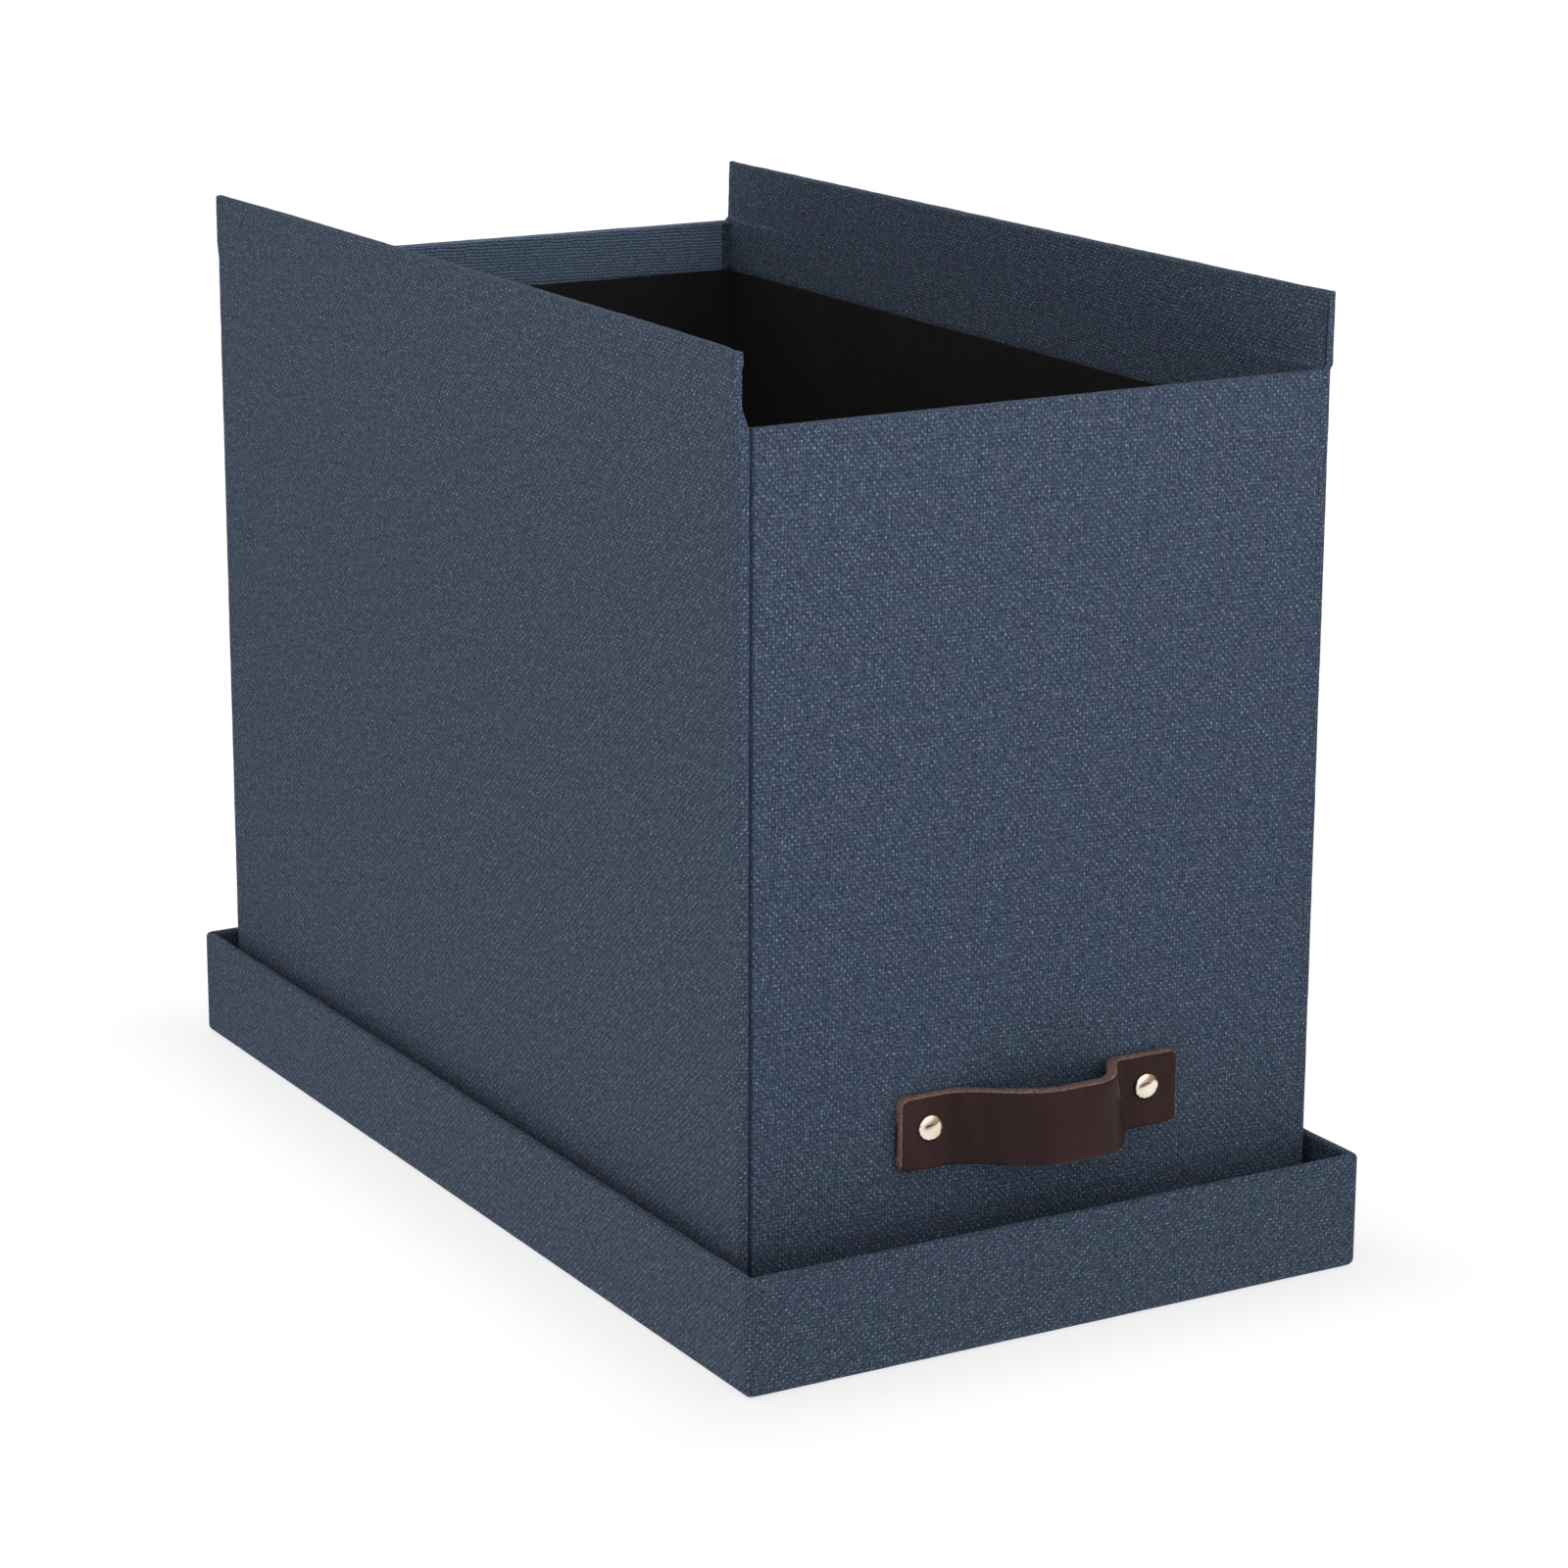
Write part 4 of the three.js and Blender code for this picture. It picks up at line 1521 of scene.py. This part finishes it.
        return grow(obj, tree, values)


# ---- Rivets ----


@dataclass
class Rivets:
    """The strap's two rivets: domed heads outside, and rings inside that they are spread into.

    Args:
        shank: Profile of a shank and its head's rolled edge, from the inside out, as radius and
            distance out from the wall, in mm.
        rise: How far a head's dome rises over its rolled edge, in mm.
        bands: How many rings of faces a dome has.
        ring: Profile of a ring, in the same way as the shank's.
        around: How many faces go round.
        seed: Which small turns they are set at.
    """

    shank: tuple[Pair, ...] = (
        (0.0, -4.05), (1.5, -4.05), (1.5, 3.15), (3.6, 3.15), (3.78, 3.3), (3.85, 3.5),
    )
    rise: float = 1.4
    bands: int = 10
    ring: tuple[Pair, ...] = (
        (1.7, -4.35), (2.1, -4.42), (2.75, -4.4), (3.4, -4.1), (3.75, -3.75), (3.8, -3.45), (1.7, -3.45),
    )
    around: int = 48
    seed: int = 3

    def head(self) -> tuple[Pair, ...]:
        """Gives the profile of a shank with its domed head.

        Returns:
            Each point's radius and distance out, in mm.
        """
        rim, level = self.shank[-1]
        turns = [0.5 * math.pi * k / self.bands for k in range(1, self.bands)]
        dome = [(rim * math.cos(a), level + self.rise * math.sin(a)) for a in turns]
        return (*self.shank, *dome, (0.0, level + self.rise))

    def lathe(self, profile: Sequence[Pair]) -> Object:
        """Turns a profile about the Y axis.

        Args:
            profile: Radius and distance out along -Y, in mm. It joins its own start unless it
                starts on the axis.

        Returns:
            The turned shape, round the origin.
        """
        points, rings = [], []
        for radius, out in profile:
            turn = arc((0, 0), radius * MM, 0, self.around, 360)[:-1] if radius else [(0.0, 0.0)]
            numbers = list(range(len(points), len(points) + len(turn)))
            rings.append(numbers if radius else numbers * self.around)
            points += [(x, -out * MM, z) for x, z in turn]
        faces = tube(rings + rings[:1] if profile[0][0] else rings)
        flat = [(points[i][0], points[i][2]) for face in faces for i in face]
        return mesh_object("turned_shape", Shell(np.array(points), faces, flat), Slot.NICKEL)

    def build(self) -> list[Object]:
        """Makes the heads and the rings.

        Returns:
            Both pieces, on their body.
        """
        wall = corners("box_front_cover")[0][1]
        middles = [sum(corners(f"{side}_rivet")) / 2 for side in ("left", "right")]
        pieces = []
        for name, profile, tail in (("rivet_heads", self.head(), ""), ("rivet_rings", self.ring, "_cap")):
            shape = self.lathe(profile)
            carrier = bpy.data.meshes.new(name)
            carrier.from_pydata([(x, wall, z) for x, _, z in middles], [], [])
            obj = grow(linked(name, carrier), self.repeat_tree(name, shape), {"Seed": self.seed})
            bpy.data.objects.remove(shape)
            pieces.append(mount(obj, Body.BOX, Slot.NICKEL, f"left_rivet{tail}", f"right_rivet{tail}"))
        return pieces

    def repeat_tree(self, name: str, shape: Object) -> NodeTree:
        """Makes the group that sets one turned shape at each rivet, turned a little differently.

        Args:
            name: The piece's name.
            shape: The turned shape.

        Returns:
            The group.
        """
        tree, out = group(name, {"Places": "Geometry", "Seed": "Int"})
        turns = {"Min": (-0.02, -3.0, -0.02), "Max": (0.02, 3.0, 0.02), "Seed": out["Seed"]}
        turn = add(tree, "FunctionNodeRandomValue", named=turns, data_type="FLOAT_VECTOR")
        found = add(tree, "GeometryNodeObjectInfo", shape, transform_space="ORIGINAL")
        sockets = {"Instance": found.outputs["Geometry"], "Rotation": turn}
        placed = add(tree, "GeometryNodeInstanceOnPoints", out["Places"], named=sockets)
        end_group(tree, placed, Slot.NICKEL)
        return tree


# ---- The two halves ----


@dataclass
class Lid:
    """The lid, which lies upside down as a tray.

    Args:
        board_edge: The radius of its boards' soft edges.
        under_inset: How far inside the lid's faces the sheet under it ends.
    """

    board_edge: float = 1.9 * MM
    under_inset: float = 13.2 * MM

    def build(self) -> list[Object]:
        """Makes the lid's pieces and dresses its CAD nodes.

        Returns:
            The pieces.
        """
        between = ((Axis.X, -1), (Axis.X, 1))
        hard = {"left": between[1:], "right": between[:1]}
        hard |= {"front": (*between, (Axis.Y, 1)), "rear": (*between, (Axis.Y, -1))}
        pieces = [Core(Body.LID, label, self.board_edge, hard[label]).build() for label in hard]
        turned = corners("lid_left_lining")[1][2] + TURN_GAP
        pieces.append(RimCover(turned).build())
        pieces.append(UnderCover("lid_panel", self.under_inset).build())
        dress(Body.LID, "panel", ("panel", *hard))
        return pieces


@dataclass
class FileBox:
    """The box, with its covers, boards, linings, strap and rivets.

    Args:
        board_edge: The radius of its end boards' soft edges.
        under_inset: How far inside the box's faces the sheet under it ends.
    """

    board_edge: float = 0.75 * MM
    under_inset: float = 3.3 * MM

    def build(self) -> list[Object]:
        """Makes the box's pieces and dresses its CAD nodes.

        Returns:
            The pieces.
        """
        notch = corners("box_front_cover")[1][2]
        turned = corners("box_left_lining")[1][2] + TURN_GAP
        left = SideCover(Side.LEFT, notch, turned, flare=(1.3 * MM, 0.3 * MM))
        # the right side paints a dark line of shade on its flap
        right = SideCover(
            Side.RIGHT, notch, turned, flare=(0.6 * MM, 0.2 * MM), pinch=(0.75 * MM, 1.3 * MM),
            foot=1.2 * MM, run=1.2 * MM, lift=(1.4 * MM, -0.7 * MM), ear=(0.0, 0.0),
            crisp=0.3 * MM, tight=0.15 * MM, crease=3.6,
        )
        # the front end gets painted shade in its left seam, and the rear end painted light on its inside
        # band
        front = EndCover(End.FRONT, turned, tuck=(0.3 * MM, 0.0), rise=(0.0, 0.3 * MM), sunk=3.0)
        pieces = [Core(Body.BOX, label, self.board_edge).build() for label in ("front", "rear")]
        pieces += [
            *left.build(),
            *right.build(),
            front.build(),
            EndCover(End.REAR, turned, drawn=1.0).build(),
            UnderCover("box_base", self.under_inset).build(),
            *(SideLining(side).build() for side in Side),
            *PullStrap().build(),
            *Rivets().build(),
        ]
        dress(Body.BOX, "base", ("base", "front", "rear"))
        return pieces


# ---- Studio ----


@dataclass
class Studio:
    """A pale floor, soft light and the camera.

    Args:
        azimuth: The camera's direction round the object, in degrees.
        elevation: How far above the horizon it stands, in degrees.
        roll: How far it is turned about its own line of sight, in degrees.
        distance: From the camera to the point that it looks at.
        aside: How far that point is to the right of the origin, across the view.
        above: Its height.
        lens: The focal length, in mm, for a sensor 36 mm wide.
        sky: The strength of the even light all round.
        room: The strength of the warm room that shiny things show.
        bounce: The strength of the floor's own even light.
        sweep: How much stronger the sweep of paper in front is.
        overhead: The power of the lamp overhead, and its size.
        lamp_at: Where it hangs.
        soft_box: The direction of the wide soft box that shiny things show.
        table: The direction in which the table that they show ends, which is dark beyond.
        dark_side: The direction of the dark beyond it.
        foot: Half the lid's width and length, round which the floor keeps the shadow.
        shadow: How far from it the shadow reaches, and the share of white paper where it starts.
    """

    azimuth: float = -30.18364
    elevation: float = 15.12801
    roll: float = 0.229124
    distance: float = 1.36022
    aside: float = 0.0131205
    above: float = 0.112534
    lens: float = 104.18914
    sky: float = 0.79
    room: float = 1.15
    bounce: float = 0.66
    sweep: float = 2.85
    overhead: Pair = (3.6, 1.6)
    lamp_at: tuple[float, float, float] = (-0.8, 0.1, 2.4)
    soft_box: tuple[float, float, float] = (-0.25, -0.487, 0.836)
    table: tuple[float, float, float] = (-0.5, -0.866, 0.0)
    dark_side: tuple[float, float, float] = (0.34, -0.94, 0.0)
    foot: tuple[float, float, float] = (0.0995, 0.1795, 0.0)
    shadow: Pair = (0.04, 0.76)

    def build(self) -> None:
        """Sets up the floor, the lights and the camera."""
        self.camera()
        self.world()
        self.floor()
        self.lamp()
        bpy.context.scene.view_settings.view_transform = "Standard"

    def camera(self) -> None:
        """Places the camera."""
        az, el, roll = (math.radians(a) for a in (self.azimuth, self.elevation, self.roll))
        back = Vector((math.sin(az) * math.cos(el), -math.cos(az) * math.cos(el), math.sin(el)))
        right = Vector((0, 0, 1)).cross(back).normalized()
        up = back.cross(right)
        turned_right = math.cos(roll) * right + math.sin(roll) * up
        turned_up = -math.sin(roll) * right + math.cos(roll) * up
        target = Vector((math.cos(az) * self.aside, math.sin(az) * self.aside, self.above))
        data = bpy.data.cameras.new("camera")
        data.lens, data.sensor_width, data.clip_start, data.clip_end = self.lens, 36.0, 0.05, 50.0
        obj = linked("camera", data)
        rotation = Matrix((turned_right, turned_up, back)).transposed()
        obj.matrix_world = Matrix.Translation(target + back * self.distance) @ rotation.to_4x4()
        bpy.context.scene.camera = obj

    def world(self) -> None:
        """Makes the surroundings.

        They are white where they are seen and an even grey as a light. In a shiny thing they show
        a wide soft box above and in front, and the warm room behind it.
        """
        world = bpy.data.worlds.new("studio")
        world.use_nodes = True
        tree = world.node_tree
        tree.nodes.clear()
        ray = add(tree, "ShaderNodeLightPath").outputs
        way = add(tree, "ShaderNodeTexCoord").outputs["Generated"]
        toward = add(tree, VECTOR, way, self.soft_box, operation="DOT_PRODUCT").outputs["Value"]
        warm = add(tree, RAMP, toward, stops=((0.0, "#7d6756"), (0.45, "#b39784"), (0.68, "#ffffff")))
        looks = ((linear("#ffffff"), self.sky), (warm, self.room), (linear("#ffffff"), 1.0))
        sky, mirrored, white = (add(tree, "ShaderNodeBackground", *look) for look in looks)
        lit = add(tree, "ShaderNodeMixShader", ray["Is Glossy Ray"], sky, mirrored)
        shown = add(tree, "ShaderNodeMixShader", ray["Is Camera Ray"], lit, white)
        add(tree, "ShaderNodeOutputWorld", shown)
        bpy.context.scene.world = world

    def floor(self) -> None:
        """Makes the floor.

        It is white where it is seen, but for the object's soft shadow round its foot. As a light
        it is an even grey, with a bright sweep of paper in front. In a shiny thing it is a cream
        table that ends in front and behind, with the dark beyond.
        """
        size, just_under = 6.0, -0.0002
        mesh = bpy.data.meshes.new("floor")
        square = [(-size, -size, 0), (size, -size, 0), (size, size, 0), (-size, size, 0)]
        mesh.from_pydata(square, [], [(0, 1, 2, 3)])
        obj = linked("floor", mesh)
        obj.location.z = just_under
        material, tree, spot = new_material("floor_paper")
        material.cycles.emission_sampling = "NONE"
        ray = add(tree, "ShaderNodeLightPath").outputs

        apart = add(tree, VECTOR, spot, operation="ABSOLUTE")
        apart = add(tree, VECTOR, apart, self.foot, operation="SUBTRACT")
        apart = add(tree, VECTOR, apart, (0.0, 0.0, 0.0), operation="MAXIMUM")
        clear = add(tree, VECTOR, apart, operation="LENGTH").outputs["Value"]
        shadow = add(tree, "ShaderNodeBsdfDiffuse", linear("#fbfbfb"))
        white = add(tree, "ShaderNodeEmission", linear("#ffffff"), 1.0)
        share = add(tree, RANGE, clear, 0.0, self.shadow[0], self.shadow[1], **EASED)
        seen = add(tree, "ShaderNodeMixShader", share, shadow, white)

        away = add(tree, VECTOR, spot, operation="LENGTH").outputs["Value"]
        way = add(tree, VECTOR, spot, operation="NORMALIZE")
        ahead, toward, aside = (
            add(tree, VECTOR, source, direction, operation="DOT_PRODUCT").outputs["Value"]
            for source, direction in ((way, (0.0, -1.0, 0.0)), (spot, self.table), (way, self.dark_side))
        )
        wedge, far, beyond, narrow, behind = (
            add(tree, RANGE, source, start, stop, **EASED)
            for source, start, stop in (
                (ahead, 0.62, 0.8),
                (away, 0.9, 1.1),
                (toward, 0.24, 0.46),
                (aside, 0.8, 0.97),
                (toward, 0.0, -0.2),
            )
        )
        sweep = add(tree, "MULTIPLY_ADD", add(tree, "MULTIPLY", wedge, far), self.sweep, self.bounce)
        glow = add(tree, "ShaderNodeEmission", linear("#f7faff"), sweep)
        shade = add(tree, "MULTIPLY_ADD", beyond, narrow, behind)
        top = add(tree, RAMP, shade, stops=((0.0, "#fbf7f0"), (1.0, "#2b211d")))
        mirrored = add(tree, "ShaderNodeEmission", top, 1.0)
        lit = add(tree, "ShaderNodeMixShader", ray["Is Glossy Ray"], glow, mirrored)
        paper = add(tree, "ShaderNodeMixShader", ray["Is Camera Ray"], lit, seen)
        add(tree, "ShaderNodeOutputMaterial", paper)
        mesh.materials.append(material)

    def lamp(self) -> None:
        """Hangs the soft lamp overhead."""
        data = bpy.data.lights.new("overhead", "AREA")
        data.shape = "SQUARE"
        data.energy, data.size = self.overhead
        obj = linked("overhead", data)
        obj.location = self.lamp_at
        way = Vector((0, 0, 0.2)) - obj.location
        obj.rotation_euler = way.to_track_quat("-Z", "Y").to_euler()


def main() -> None:
    """Builds the file box and its studio, in order."""
    logging.basicConfig(level=logging.INFO, format="%(message)s")
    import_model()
    Studio().build()
    for half in (Lid(), FileBox()):
        for piece in half.build():
            LOG.info("%s: %d faces", piece.name, len(piece.data.polygons))
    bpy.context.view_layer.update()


if __name__ == "__main__":
    main()
